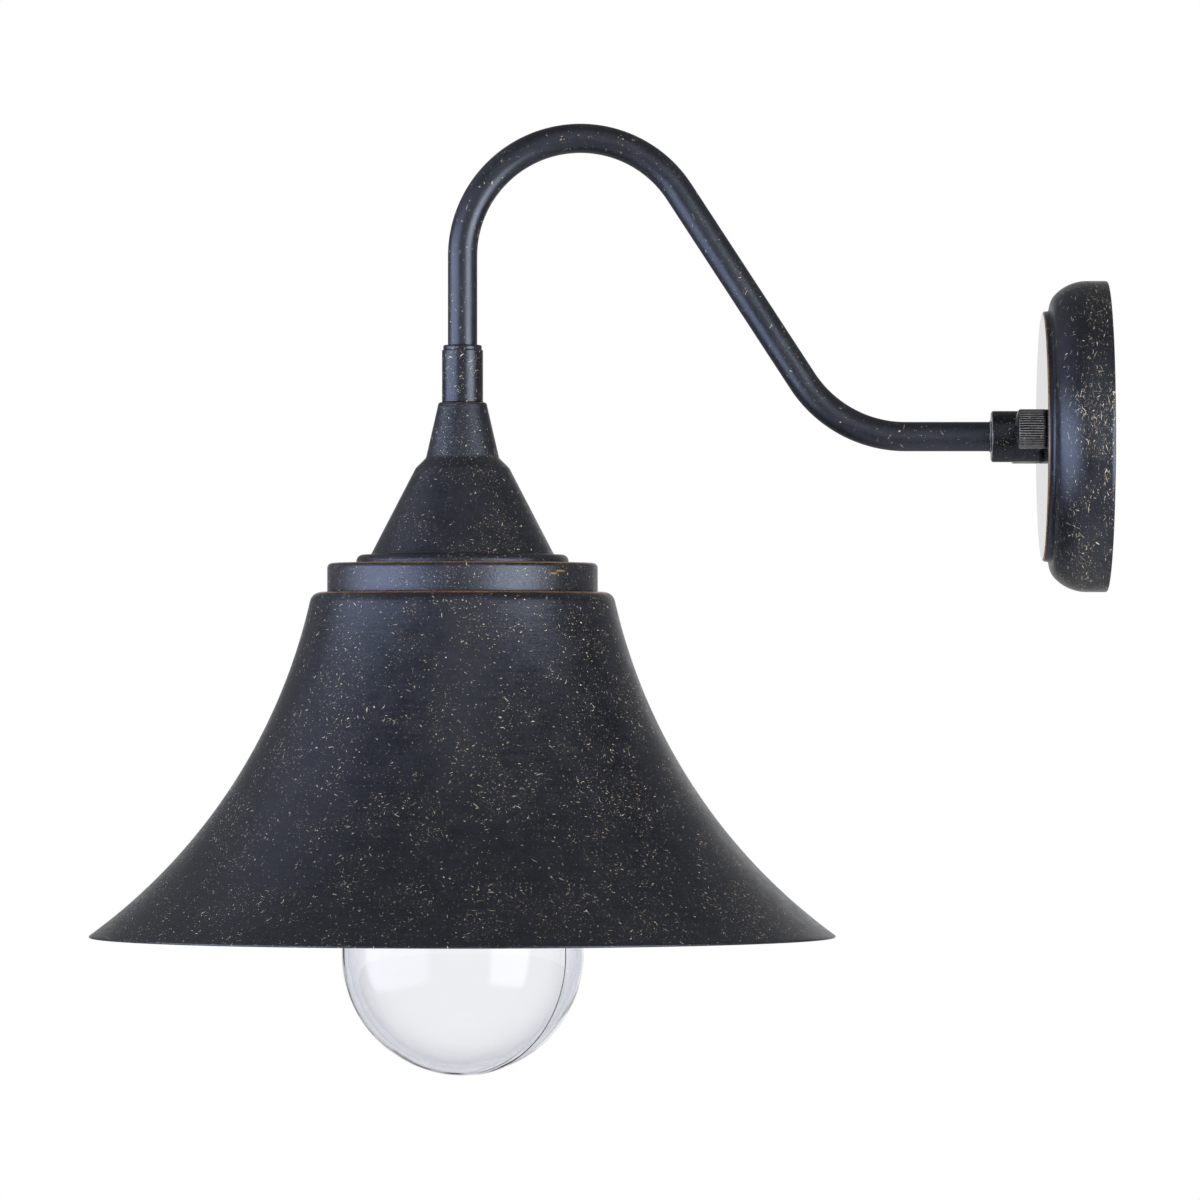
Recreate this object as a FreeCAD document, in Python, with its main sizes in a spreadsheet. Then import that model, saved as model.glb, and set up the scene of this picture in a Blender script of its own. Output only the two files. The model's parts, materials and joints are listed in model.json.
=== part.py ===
import FreeCAD, Part
import math
import os
import Sketcher
from FreeCAD import Vector

# Outdoor wall light: a swan-neck arm carries a bell shade and a clear glass jar.
# Frame: the origin is the centre of the back plate's rim, in the plane of the wall.
# +Z is up, +Y points into the wall, and the arm reaches out along -Y. Millimetres and degrees.

SIZES = {
    # back plate, cast, a dish that is open towards the wall
    "plate_diameter": 127.0,
    "plate_body_depth": 23.3,
    "plate_depth": 26.5,
    "plate_wall": 1.6,
    "plate_land_height": 8.2,
    "plate_step_width": 12.4,
    "plate_boss_fillet": 1.2,
    "plate_boss_edge": 1.0,
    "plate_shoulder_start": 1.6,
    "plate_shoulder_radius": 18.0,
    "foam_width": 4.2,
    "foam_thickness": 5.0,
    # mounting strap and its fasteners
    "strap_end_gap": 9.5,
    "strap_width": 19.0,
    "strap_thickness": 2.0,
    "strap_corner": 4.0,
    "strap_centre_hole_diameter": 12.0,
    "box_hole_inset": 9.55,
    "box_hole_diameter": 4.8,
    "stud_spacing": 60.0,
    "stud_diameter": 4.1,
    "stud_reach": 9.0,
    "stud_tilt": 4.3,
    "stud_nut_flats": 8.7,
    "stud_nut_height": 3.2,
    "ground_screw_offset": 15.0,
    "ground_screw_diameter": 4.0,
    "ground_head_diameter": 9.0,
    "ground_head_height": 2.4,
    "ground_wire_diameter": 1.3,
    # knurled cap nuts
    "knob_diameter": 16.0,
    "knob_length": 10.8,
    "knob_dome_height": 1.9,
    "knob_hole_depth": 10.4,
    "knurl_count": 48,
    "knurl_depth": 0.42,
    "knurl_base_land": 0.8,
    "seal_recess_diameter": 11.4,
    "seal_recess_depth": 1.0,
    "seal_thickness": 1.0,
    "thread_clearance": 0.15,
    # arm
    "tube_diameter": 12.0,
    "tube_wall": 1.0,
    "head_reach": 263.0,
    "lower_bend_out": 82.2,
    "lower_bend_radius": 50.2,
    "crest_height": 73.7,
    "arm_slope": 56.9,
    "wall_collar_diameter": 21.0,
    "wall_collar_length": 20.9,
    "wall_collar_edge": 0.9,
    "wall_socket_depth": 13.0,
    "collar_bead_length": 0.9,
    "collar_bead_height": 1.9,
    "set_screw_diameter": 4.0,
    "set_screw_length": 3.9,
    "set_screw_key": 2.0,
    "set_screw_key_depth": 2.0,
    "nipple_diameter": 9.7,
    "nipple_bore": 7.0,
    "nipple_inset": 7.0,
    "wall_nipple_tail": 7.8,
    "pipe_nut_flats": 13.2,
    "pipe_nut_height": 4.0,
    "washer_diameter": 15.0,
    "washer_thickness": 0.9,
    "slip_fit": 0.1,
    # head
    "head_top": 37.4,
    "lock_ring_diameter": 15.8,
    "lock_ring_height": 2.0,
    "lock_ring_edge": 0.8,
    "head_collar_diameter": 16.8,
    "head_collar_length": 21.4,
    "head_socket_depth": 12.0,
    "collar_chamfer": 0.35,
    "neck_top_diameter": 19.5,
    "neck_edge": 0.8,
    "neck_height": 22.7,
    "neck_foot_diameter": 29.9,
    "step_height": 4.2,
    "step_foot_diameter": 38.3,
    "step_hollow": 4.0,
    "step_round": 3.0,
    "cone_height": 35.3,
    "cone_foot_diameter": 74.8,
    "cone_hollow": 0.9,
    "flange_height": 3.4,
    "flange_diameter": 86.6,
    "flange_round": 2.7,
    "cover_wall": 1.4,
    "cap_margin": 6.25,
    "cap_height": 11.8,
    "cap_edge": 2.1,
    "cap_wall": 1.2,
    "shade_top_diameter": 122.9,
    "shade_shoulder": 5.0,
    "shade_height": 139.5,
    "shade_rim_diameter": 304.8,
    "shade_flare_radius": 231.2,
    "shade_sheet": 1.0,
    # jar holder and glass jar
    "holder_web": 3.0,
    "holder_flange_margin": 9.95,
    "holder_flange_width": 4.5,
    "holder_wall": 4.6,
    "holder_skirt": 21.0,
    "jar_gasket_thickness": 3.0,
    "jar_gasket_inset": 0.5,
    "jar_shoulder_width": 9.4,
    "jar_wall": 2.6,
    "jar_drop_below_rim": 57.8,
    "jar_neck_wall": 3.6,
    "jar_neck_gap": 2.6,
    "jar_shoulder_round": 5.5,
    "jar_clearance": 0.8,
    "jar_thread_pitch": 6.0,
    "jar_thread_bead": 1.3,
    "jar_thread_lead_in": 5.0,
    "running_gap": 0.3,
    # lampholder
    "lampholder_neck_diameter": 27.0,
    "lampholder_neck_height": 8.0,
    "lampholder_shoulder": 4.0,
    "lampholder_diameter": 41.0,
    "lampholder_height": 46.0,
    "lampholder_edge": 1.6,
    "lampholder_screw_depth": 10.5,
    "chamber_diameter": 26.4,
    "chamber_height": 7.0,
    "partition": 3.0,
    "shell_bore": 26.4,
    "shell_sheet": 0.5,
    "shell_length": 24.0,
    "shell_flange_hole": 19.0,
    "shell_seat_gap": 0.5,
    "rivet_diameter": 2.4,
    "rivet_head_diameter": 4.0,
    "rivet_head_height": 0.8,
    "leaf_thickness": 0.5,
    "leaf_width": 6.0,
    "leaf_root": 4.4,
    "leaf_reach": 6.2,
    "leaf_drop": 3.6,
    "leaf_tip": 4.0,
    "leaf_swing_gap": 0.75,
    "live_rivet_offset": 6.2,
    "shell_rivet_offset": 11.0,
    "terminal_height": 3.6,
    "terminal_width": 6.0,
    "terminal_gap": 1.0,
    # leads and twist-on connectors
    "lead_diameter": 2.0,
    "lead_offset": 1.3,
    "lead_bend_radius": 5.5,
    "lead_exit": 1.2,
    "connector_start": 16.5,
    "connector_length": 20.0,
    "connector_mouth_diameter": 10.6,
    "connector_tip_diameter": 6.6,
    "connector_depth": 9.0,
    "ground_rise": 6.5,
    "ground_bend_radius": 5.0,
    "ground_connector_start": 22.0,
    # how far cuts run past the faces that they open
    "overrun": 1.0,
}
FULL_TURN = 360.0

doc = FreeCAD.newDocument("wall_light")
sheet = doc.addObject("Spreadsheet::Sheet", "Sizes")
derived = doc.addObject("App::VarSet", "Derived")


class Size:
    """A number together with the expression that gives it in the document."""

    def __init__(self, value, text):
        self.value = value
        self.text = text

    def _join(self, sign, other, value, swap=False):
        left, right = (other, self) if swap else (self, other)
        return Size(value, f"({left.text} {sign} {right.text})")

    def __add__(self, other):
        other = as_size(other)
        return self._join("+", other, self.value + other.value)

    def __radd__(self, other):
        return as_size(other) + self

    def __sub__(self, other):
        other = as_size(other)
        return self._join("-", other, self.value - other.value)

    def __rsub__(self, other):
        return as_size(other) - self

    def __mul__(self, other):
        other = as_size(other)
        return self._join("*", other, self.value * other.value)

    def __rmul__(self, other):
        return as_size(other) * self

    def __truediv__(self, other):
        other = as_size(other)
        return self._join("/", other, self.value / other.value)

    def __neg__(self):
        return Size(-self.value, f"(0 - {self.text})")

    def root(self):
        return Size(math.sqrt(self.value), f"sqrt({self.text})")

    def sine(self):
        return Size(math.sin(math.radians(self.value)), f"sin({self.text})")

    def cosine(self):
        return Size(math.cos(math.radians(self.value)), f"cos({self.text})")

    def tangent(self):
        return Size(math.tan(math.radians(self.value)), f"tan({self.text})")


def as_size(value):
    return value if isinstance(value, Size) else Size(float(value), repr(float(value)))


ZERO = as_size(0)
S = {}
for row, (alias, number) in enumerate(SIZES.items(), start=1):
    sheet.set(f"A{row}", alias)
    sheet.set(f"B{row}", repr(number))
    sheet.setAlias(f"B{row}", alias)
    S[alias] = Size(float(number), f"Sizes.{alias}")
doc.recompute()


def keep(name, size):
    """Stores a worked-out size in the document under a name, and returns it as that name."""
    derived.addProperty("App::PropertyFloat", name, "Worked out")
    derived.setExpression(name, size.text)
    setattr(derived, name, size.value)
    return Size(size.value, f"Derived.{name}")


def bind(obj, prop, size):
    """Ties one property of an object to a size."""
    size = as_size(size)
    obj.setExpression(prop, size.text)


OVERRUN = S["overrun"]

# What hangs in the shade follows the width of its top, each piece inside the one before.
SHADE_TOP_R = S["shade_top_diameter"] / 2
HOLDER_FLANGE_R = keep("holder_flange_radius", SHADE_TOP_R - S["holder_flange_margin"])
HOLDER_R = keep("holder_radius", HOLDER_FLANGE_R - S["holder_flange_width"])
HOLDER_BORE_R = keep("holder_bore_radius", HOLDER_R - S["holder_wall"])
NECK_R = keep("jar_neck_radius", HOLDER_BORE_R - S["jar_thread_bead"] - S["jar_clearance"])
JAR_R = keep("jar_radius", NECK_R + S["jar_shoulder_width"])

# Places along the head's axis, from the top down.
TUBE_R = S["tube_diameter"] / 2
NIPPLE_R = S["nipple_diameter"] / 2
NIPPLE_HOLE_R = keep("nipple_hole_radius", NIPPLE_R + S["slip_fit"])
COLLAR_TOP = keep("collar_top", S["head_top"] - S["lock_ring_height"])
COVER_TOP = keep("cover_top", COLLAR_TOP - S["head_collar_length"])
STEP_TOP = keep("step_top", COVER_TOP - S["neck_height"])
STEP_FOOT = keep("step_foot", STEP_TOP - S["step_height"])
CONE_FOOT = keep("cone_foot", STEP_FOOT - S["cone_height"])
CAP_TOP = keep("cap_top", CONE_FOOT - S["flange_height"])
SHADE_TOP = keep("shade_top", CAP_TOP - S["cap_height"])
RIM = keep("rim", SHADE_TOP - S["shade_height"])
HOLDER_TOP = keep("holder_top", SHADE_TOP - S["shade_sheet"])
WEB_FOOT = keep("web_foot", HOLDER_TOP - S["holder_web"])
SKIRT_FOOT = keep("skirt_foot", WEB_FOOT - S["holder_skirt"])
JAR_LAND = keep("jar_land", SKIRT_FOOT - S["jar_gasket_thickness"])
JAR_FOOT = keep("jar_foot", RIM - S["jar_drop_below_rim"])
JAR_ROUND = keep("jar_round", JAR_FOOT + JAR_R)
HOLDER_NUT_TOP = keep("holder_nut_top", WEB_FOOT - S["washer_thickness"])
LAMP_TOP = keep("lamp_top", HOLDER_NUT_TOP - S["pipe_nut_height"])
CHAMBER_TOP = keep("chamber_top", LAMP_TOP - S["lampholder_screw_depth"])
CHAMBER_FOOT = keep("chamber_foot", CHAMBER_TOP - S["chamber_height"])
SHELL_TOP = keep("shell_top", CHAMBER_FOOT - S["partition"])
LEAF_TOP = keep("leaf_top", SHELL_TOP - S["running_gap"] / 3)
LEAF_SEAT = keep("leaf_seat", LEAF_TOP - S["leaf_thickness"] - S["leaf_swing_gap"])
TERMINAL_TOP = keep("terminal_top", CHAMBER_FOOT + S["terminal_height"])

# Distances out from the wall.
PLATE_FACE = S["plate_depth"]
PLATE_INNER = keep("plate_inner", S["plate_depth"] - S["plate_wall"])
COLLAR_FRONT = keep("collar_front", PLATE_FACE + S["wall_collar_length"])
ARM_START = keep("arm_start", COLLAR_FRONT - S["wall_socket_depth"])
ARM_END = keep("arm_end", COLLAR_TOP - S["head_socket_depth"])
WALL_NUT_FRONT = keep("wall_nut_front", PLATE_INNER - S["washer_thickness"])
WALL_NIPPLE_END = keep("wall_nipple_end", PLATE_INNER - S["wall_nipple_tail"])

# Across the plate and the strap behind it.
PLATE_R = S["plate_diameter"] / 2
BOSS_R = keep("boss_radius", PLATE_R - S["plate_step_width"])
STRAP_HALF = keep("strap_half_length", PLATE_R - S["strap_end_gap"])
BOX_HOLE_OUT = keep("box_hole_out", STRAP_HALF - S["box_hole_inset"])

# The arm's straight diagonal touches the lower bend and the crest. Its slope and the places of
# the arm's two ends leave one radius for the crest.
SLOPE = S["arm_slope"]
LOW_TOUCH_Y = keep(
    "low_touch_y", -(S["lower_bend_out"] + S["lower_bend_radius"] * SLOPE.sine())
)
LOW_TOUCH_Z = keep("low_touch_z", S["lower_bend_radius"] * (1 - SLOPE.cosine()))
CREST_RUN = keep(
    "crest_run", S["head_reach"] + LOW_TOUCH_Y - (S["crest_height"] - LOW_TOUCH_Z) / SLOPE.tangent()
)
CREST_R = keep("crest_radius", CREST_RUN * SLOPE.sine() / (1 + SLOPE.sine()))
HIGH_TOUCH_Y = keep("high_touch_y", CREST_R * (1 + SLOPE.sine()) - S["head_reach"])
HIGH_TOUCH_Z = keep("high_touch_z", S["crest_height"] + CREST_R * SLOPE.cosine())

# The leads leave the wall's nipple and turn up and down behind the plate.
LEAD_EXIT = keep("lead_exit_out", WALL_NIPPLE_END - S["lead_exit"])
LEAD_REST = keep("lead_rest", LEAD_EXIT - S["lead_bend_radius"])


def new_body(name):
    body = doc.addObject("PartDesign::Body", name)
    body.Label = name
    return body


def plane_of(body, role):
    return next(f for f in body.Origin.OriginFeatures if f.Role == role)


def new_sketch(body, name, role, lift=None):
    """A sketch on one of the body's own origin planes, lifted along the plane's normal."""
    sketch = body.newObject("Sketcher::SketchObject", name)
    sketch.AttachmentSupport = (plane_of(body, role), [""])
    sketch.MapMode = "FlatFace"
    if lift is not None:
        bind(sketch, "AttachmentOffset.Base.z", lift)
    return sketch


def tie(sketch, constraint, size=None):
    """Adds a constraint, and binds its number to a size."""
    index = sketch.addConstraint(constraint)
    if size is not None:
        sketch.setExpression(f"Constraints[{index}]", size.text)
    return index


def pin_point(sketch, geo, pos, x, y):
    """Fixes a point of the sketch at (x, y)."""
    if x.value == 0:
        tie(sketch, Sketcher.Constraint("PointOnObject", geo, pos, -2))
    else:
        tie(sketch, Sketcher.Constraint("DistanceX", -1, 1, geo, pos, x.value), x)
    if y.value == 0:
        tie(sketch, Sketcher.Constraint("PointOnObject", geo, pos, -1))
    else:
        tie(sketch, Sketcher.Constraint("DistanceY", -1, 1, geo, pos, y.value), y)


class Corner:
    """A corner of an outline: its place, an optional fillet, and the arc that leaves it, if any.

    bulge is the radius of the arc to the next corner, and side is 1 where its centre lies to the
    left of the way there."""

    def __init__(self, x, y, fillet=None, bulge=None, side=1):
        self.x, self.y = as_size(x), as_size(y)
        self.fillet, self.bulge, self.side = fillet, bulge, side
        self.point = Vector(self.x.value, self.y.value, 0)


def arc_geometry(start, end, centre):
    """A counter-clockwise arc, and which of its ends is start."""
    radius = (start - centre).Length
    first = math.atan2(start.y - centre.y, start.x - centre.x)
    last = math.atan2(end.y - centre.y, end.x - centre.x)
    turn = (last - first) % (2 * math.pi)
    circle = Part.Circle(centre, Vector(0, 0, 1), radius)
    if turn <= math.pi:
        return Part.ArcOfCircle(circle, first, first + turn), 1, 2
    return Part.ArcOfCircle(circle, last, last + 2 * math.pi - turn), 2, 1


def arc_centre(start, end, radius, side):
    chord = end - start
    middle = (start + end) * 0.5
    left = Vector(-chord.y, chord.x, 0).normalize()
    height = math.sqrt(max(radius**2 - (chord.Length / 2) ** 2, 0))
    return middle + left * (side * height)


def fillet_points(before, corner, after, radius):
    """Where a fillet touches the two straight sides of a corner, and its centre."""
    back, ahead = (before - corner).normalize(), (after - corner).normalize()
    half = back.getAngle(ahead) / 2
    reach = radius / math.tan(half)
    centre = corner + (back + ahead).normalize() * (radius / math.sin(half))
    return corner + back * reach, corner + ahead * reach, centre


def draw(sketch, corners, closed=True):
    """Draws an outline through the corners, with every size tied to the sheet."""
    count = len(corners)
    sides = count if closed else count - 1
    touch = {}
    for i, corner in enumerate(corners):
        if corner.fillet is not None:
            before, after = corners[i - 1].point, corners[(i + 1) % count].point
            touch[i] = fillet_points(before, corner.point, after, corner.fillet.value)
    edges = []
    for i in range(sides):
        j = (i + 1) % count
        start = touch[i][1] if i in touch else corners[i].point
        end = touch[j][0] if j in touch else corners[j].point
        if corners[i].bulge is None:
            edges.append((sketch.addGeometry(Part.LineSegment(start, end), False), 1, 2))
        else:
            centre = arc_centre(start, end, corners[i].bulge.value, corners[i].side)
            shape, first, last = arc_geometry(start, end, centre)
            edges.append((sketch.addGeometry(shape, False), first, last))
    for i, corner in enumerate(corners):
        geo, first, _ = edges[i] if i < sides else (None, None, None)
        back, _, back_last = edges[i - 1] if (closed or i > 0) else (None, None, None)
        if corner.fillet is not None:
            start, end, centre = touch[i]
            shape, arc_first, arc_last = arc_geometry(start, end, centre)
            arc = sketch.addGeometry(shape, False)
            tie(sketch, Sketcher.Constraint("Tangent", back, back_last, arc, arc_first))
            tie(sketch, Sketcher.Constraint("Tangent", arc, arc_last, geo, first))
            radius = Sketcher.Constraint("Radius", arc, corner.fillet.value)
            tie(sketch, radius, corner.fillet)
            mark = sketch.addGeometry(Part.Point(corner.point), True)
            tie(sketch, Sketcher.Constraint("PointOnObject", mark, 1, back))
            tie(sketch, Sketcher.Constraint("PointOnObject", mark, 1, geo))
            pin_point(sketch, mark, 1, corner.x, corner.y)
            continue
        if back is not None and geo is not None:
            tie(sketch, Sketcher.Constraint("Coincident", back, back_last, geo, first))
        where = (geo, first) if geo is not None else (back, back_last)
        pin_point(sketch, *where, corner.x, corner.y)
    for i in range(sides):
        if corners[i].bulge is not None:
            radius = Sketcher.Constraint("Radius", edges[i][0], corners[i].bulge.value)
            tie(sketch, radius, corners[i].bulge)
    return edges


def add_circle(sketch, x, y, radius):
    x, y = as_size(x), as_size(y)
    centre = Vector(x.value, y.value, 0)
    geo = sketch.addGeometry(Part.Circle(centre, Vector(0, 0, 1), radius.value), False)
    pin_point(sketch, geo, 3, x, y)
    tie(sketch, Sketcher.Constraint("Radius", geo, radius.value), radius)
    return geo


def turn_about(axis, angle):
    x, y, z = axis
    return f"rotation(vector({x}; {y}; {z}); {as_size(angle).text})"


# Pieces are made about Z. A quarter turn about X stands them out from the wall, and the tilt is
# that of the line of the studs, whose +X end is the higher one.
OUTWARD = turn_about((1, 0, 0), 90)
DOWNWARD = turn_about((1, 0, 0), 180)
UPRIGHT = turn_about((0, 0, 1), 0)
TILT = turn_about((0, 1, 0), -S["stud_tilt"])


def place(obj, x=ZERO, y=ZERO, z=ZERO, turn=UPRIGHT):
    """Binds an object's whole placement to sizes."""
    obj.setExpression("Placement", f"placement(vector({x.text}; {y.text}; {z.text}); {turn})")
    return obj


def put_on_head(obj, x=ZERO):
    """The head's axis is upright, at the arm's reach from the wall."""
    return place(obj, x, -S["head_reach"])


def put_on_wall(obj):
    return place(obj, turn=OUTWARD)


def put_on_strap(obj, across=ZERO):
    """Puts a piece on the tilted line of the studs, at a distance from the plate's axis."""
    x = across * S["stud_tilt"].cosine()
    z = across * S["stud_tilt"].sine()
    return place(obj, x, ZERO, z, f"{TILT} * {OUTWARD}")


def turned(name, corners):
    """A solid of revolution about Z from an outline of (radius, height) corners."""
    body = new_body(name)
    sketch = new_sketch(body, name + "_outline", "XZ_Plane")
    draw(sketch, corners)
    spin = body.newObject("PartDesign::Revolution", name + "_turn")
    spin.Profile = sketch
    spin.ReferenceAxis = (sketch, ["V_Axis"])
    spin.Angle = FULL_TURN
    sketch.Visibility = False
    return body


def ring(name, inner, outer, foot, top):
    """A plain ring about Z."""
    return turned(
        name, [Corner(inner, foot), Corner(outer, foot), Corner(outer, top), Corner(inner, top)]
    )


def pad(body, name, role, length, circles=(), outline=None, lift=None, cut=False):
    """Pads or pockets a sketch of circles and an outline along its plane's normal."""
    sketch = new_sketch(body, name + "_sketch", role, lift)
    if outline is not None:
        draw(sketch, outline)
    for x, y, radius in circles:
        add_circle(sketch, x, y, radius)
    kind = "PartDesign::Pocket" if cut else "PartDesign::Pad"
    feature = body.newObject(kind, name)
    feature.Profile = sketch
    feature.Reversed = cut
    bind(feature, "Length", length)
    sketch.Visibility = False
    return feature


def rectangle(low_x, low_y, high_x, high_y, round_corner=None):
    return [
        Corner(low_x, low_y, round_corner),
        Corner(high_x, low_y, round_corner),
        Corner(high_x, high_y, round_corner),
        Corner(low_x, high_y, round_corner),
    ]


def hexagon(flats):
    """Corners of a hexagon across its flats, with two of them on the X axis."""
    radius = flats / as_size(math.sqrt(3))
    half = flats / 2
    return [
        Corner(radius, ZERO),
        Corner(radius / 2, half),
        Corner(-radius / 2, half),
        Corner(-radius, ZERO),
        Corner(-radius / 2, -half),
        Corner(radius / 2, -half),
    ]


def hex_nut(name, flats, height, bore, foot):
    """A hexagon nut on Z with its upper corners turned off."""
    body = new_body(name)
    pad(body, name + "_hexagon", "XY_Plane", height, [(ZERO, ZERO, bore)], hexagon(flats), foot)
    corner = flats / as_size(math.sqrt(3))
    top = foot + height
    turn = (corner - flats / 2) / as_size(math.sqrt(3))
    sketch = new_sketch(body, name + "_corners", "XZ_Plane")
    clear = corner + OVERRUN
    draw(
        sketch,
        [
            Corner(flats / 2, top),
            Corner(clear, top - turn * (clear - flats / 2) / (corner - flats / 2)),
            Corner(clear, top),
        ],
    )
    groove = body.newObject("PartDesign::Groove", name + "_chamfer")
    groove.Profile = sketch
    groove.ReferenceAxis = (sketch, ["V_Axis"])
    groove.Angle = FULL_TURN
    sketch.Visibility = False
    return body


# Back plate


def plate_outline():
    """Outer skin from the rim to the axis, then the inner skin back to the rim."""
    rim, boss = PLATE_R, BOSS_R
    wall = S["plate_wall"]
    depth = S["plate_body_depth"]
    land = S["plate_land_height"]
    start = keep("plate_shoulder_foot", boss + S["plate_shoulder_start"])
    big = S["plate_shoulder_radius"]
    # Two tangent arcs make the shoulder: the big one leaves the rim's wall upright, and the small
    # one meets the land round the boss flat. The small radius is the one for which they touch.
    across = keep("plate_shoulder_across", start - rim + big)
    up = keep("plate_shoulder_up", depth - land)
    gap = big - up
    small = keep(
        "plate_small_radius",
        (big * big - across * across - up * up) / (gap * 2),
    )
    spread = big - small
    meet_r = keep("plate_meet_radius", rim - big + big * across / spread)
    meet_h = keep("plate_meet_height", land + big * (up - small) / spread)
    meet_in_r = rim - big + (big - wall) * across / spread
    meet_in_h = land + (big - wall) * (up - small) / spread
    hole = NIPPLE_HOLE_R
    return [
        Corner(rim, ZERO),
        Corner(rim, land, bulge=big),
        Corner(meet_r, meet_h, bulge=small),
        Corner(start, depth),
        Corner(boss, depth, S["plate_boss_fillet"]),
        Corner(boss, PLATE_FACE, S["plate_boss_edge"]),
        Corner(hole, PLATE_FACE),
        Corner(hole, PLATE_INNER),
        Corner(boss - wall, PLATE_INNER),
        Corner(boss - wall, depth - wall),
        Corner(start, depth - wall, bulge=small - wall, side=-1),
        Corner(meet_in_r, meet_in_h, bulge=big - wall, side=-1),
        Corner(rim - wall, land),
        Corner(rim - wall, ZERO),
    ]


def make_backplate():
    body = turned("backplate", plate_outline())
    across = S["stud_spacing"] / 2
    hole = S["stud_diameter"] / 2 + S["thread_clearance"] * 2
    x, y = across * S["stud_tilt"].cosine(), across * S["stud_tilt"].sine()
    circles = [(x, y, hole), (-x, -y, hole)]
    pad(body, "stud_holes", "XY_Plane", PLATE_FACE + OVERRUN, circles, cut=True)
    return put_on_wall(body)


def make_wall_foam():
    outer = PLATE_R - S["plate_wall"] - S["slip_fit"] * 2
    body = ring("wall_gasket", outer - S["foam_width"], outer, ZERO, S["foam_thickness"])
    return put_on_wall(body)


# Strap, studs and nuts behind and on the plate


def make_strap():
    body = new_body("mounting_strap")
    wide = S["strap_width"] / 2
    stud = S["stud_spacing"] / 2
    stud_hole = S["stud_diameter"] / 2
    circles = [
        (BOX_HOLE_OUT, ZERO, S["box_hole_diameter"] / 2),
        (-BOX_HOLE_OUT, ZERO, S["box_hole_diameter"] / 2),
        (stud, ZERO, stud_hole),
        (-stud, ZERO, stud_hole),
        (ZERO, ZERO, S["strap_centre_hole_diameter"] / 2),
        (S["ground_screw_offset"], ZERO, S["ground_screw_diameter"] / 2),
    ]
    outline = rectangle(-STRAP_HALF, -wide, STRAP_HALF, wide, S["strap_corner"])
    pad(body, "strap_bar", "XY_Plane", S["strap_thickness"], circles, outline)
    return put_on_strap(body)


def make_studs():
    body = new_body("canopy_studs")
    across = S["stud_spacing"] / 2
    radius = S["stud_diameter"] / 2
    length = PLATE_FACE + S["stud_reach"]
    pad(body, "studs", "XY_Plane", length, [(across, ZERO, radius), (-across, ZERO, radius)])
    return put_on_strap(body)


def pair_on_strap(name, source, across):
    """Joins two copies of a piece, one each side of the plate's axis, into one node."""
    group = doc.addObject("Part::Compound", name)
    links = []
    for side in (1, -1):
        copy = doc.addObject("App::Link", name + ("_right" if side > 0 else "_left"))
        copy.LinkedObject = source
        copy.LinkTransform = False
        links.append(put_on_strap(copy, across * side))
    group.Links = links
    group.Label = name
    return group


def make_stud_nuts():
    source = hex_nut(
        "stud_nut",
        S["stud_nut_flats"],
        S["stud_nut_height"],
        S["stud_diameter"] / 2,
        S["strap_thickness"],
    )
    return pair_on_strap("stud_lock_nuts", source, S["stud_spacing"] / 2)


def make_ground_screw():
    shank = S["ground_screw_diameter"] / 2
    head = S["ground_head_diameter"] / 2
    lift = keep("ground_head_foot", S["strap_thickness"] + S["ground_wire_diameter"])
    body = turned(
        "ground_screw",
        [
            Corner(ZERO, ZERO),
            Corner(shank, ZERO),
            Corner(shank, lift),
            Corner(head, lift),
            Corner(head, lift + S["ground_head_height"], S["ground_head_height"] / 3),
            Corner(ZERO, lift + S["ground_head_height"]),
        ],
    )
    return put_on_strap(body, S["ground_screw_offset"])


def make_knob(name, side):
    """A knurled cap nut with a blind hole and a recess for its seal."""
    radius = S["knob_diameter"] / 2
    hole = S["stud_diameter"] / 2 + S["thread_clearance"]
    base = PLATE_FACE
    top = base + S["knob_length"]
    dome = S["knob_dome_height"]
    crown = keep(name + "_crown_radius", (radius * radius + dome * dome) / (dome * 2))
    recess = S["seal_recess_diameter"] / 2
    body = turned(
        name,
        [
            Corner(recess, base),
            Corner(radius, base),
            Corner(radius, top, bulge=crown),
            Corner(ZERO, top + dome),
            Corner(ZERO, base + S["knob_hole_depth"]),
            Corner(hole, base + S["knob_hole_depth"]),
            Corner(hole, base + S["seal_recess_depth"]),
            Corner(recess, base + S["seal_recess_depth"]),
        ],
    )
    count = SIZES["knurl_count"]
    step = as_size(FULL_TURN / count)
    outer = radius + S["knurl_depth"]
    wide = outer * (step / 2).tangent()
    groove = pad(
        body,
        name + "_groove",
        "XY_Plane",
        top - base - S["knurl_base_land"] + dome,
        outline=[
            Corner(radius - S["knurl_depth"], ZERO),
            Corner(outer, -wide),
            Corner(outer, wide),
        ],
        lift=base + S["knurl_base_land"],
        cut=True,
    )
    pattern = body.newObject("PartDesign::PolarPattern", name + "_knurl")
    pattern.Originals = [groove]
    pattern.Axis = (groove.Profile[0], ["N_Axis"])
    pattern.Angle = FULL_TURN
    bind(pattern, "Occurrences", S["knurl_count"])
    body.Tip = pattern
    return put_on_strap(body, S["stud_spacing"] / 2 * side)


def make_seal(name, side):
    """The rubber washer that the cap nut presses on the plate."""
    inner = S["stud_diameter"] / 2 + S["running_gap"]
    outer = S["seal_recess_diameter"] / 2 - S["running_gap"]
    body = ring(name, inner, outer, PLATE_FACE, PLATE_FACE + S["seal_thickness"])
    return put_on_strap(body, S["stud_spacing"] / 2 * side)


# Arm


def nipple(name, foot, top):
    return ring(name, S["nipple_bore"] / 2, NIPPLE_R, foot, top)


def make_wall_nipple():
    body = nipple("wall_nipple", WALL_NIPPLE_END, PLATE_FACE + S["nipple_inset"])
    return put_on_wall(body)


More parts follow.
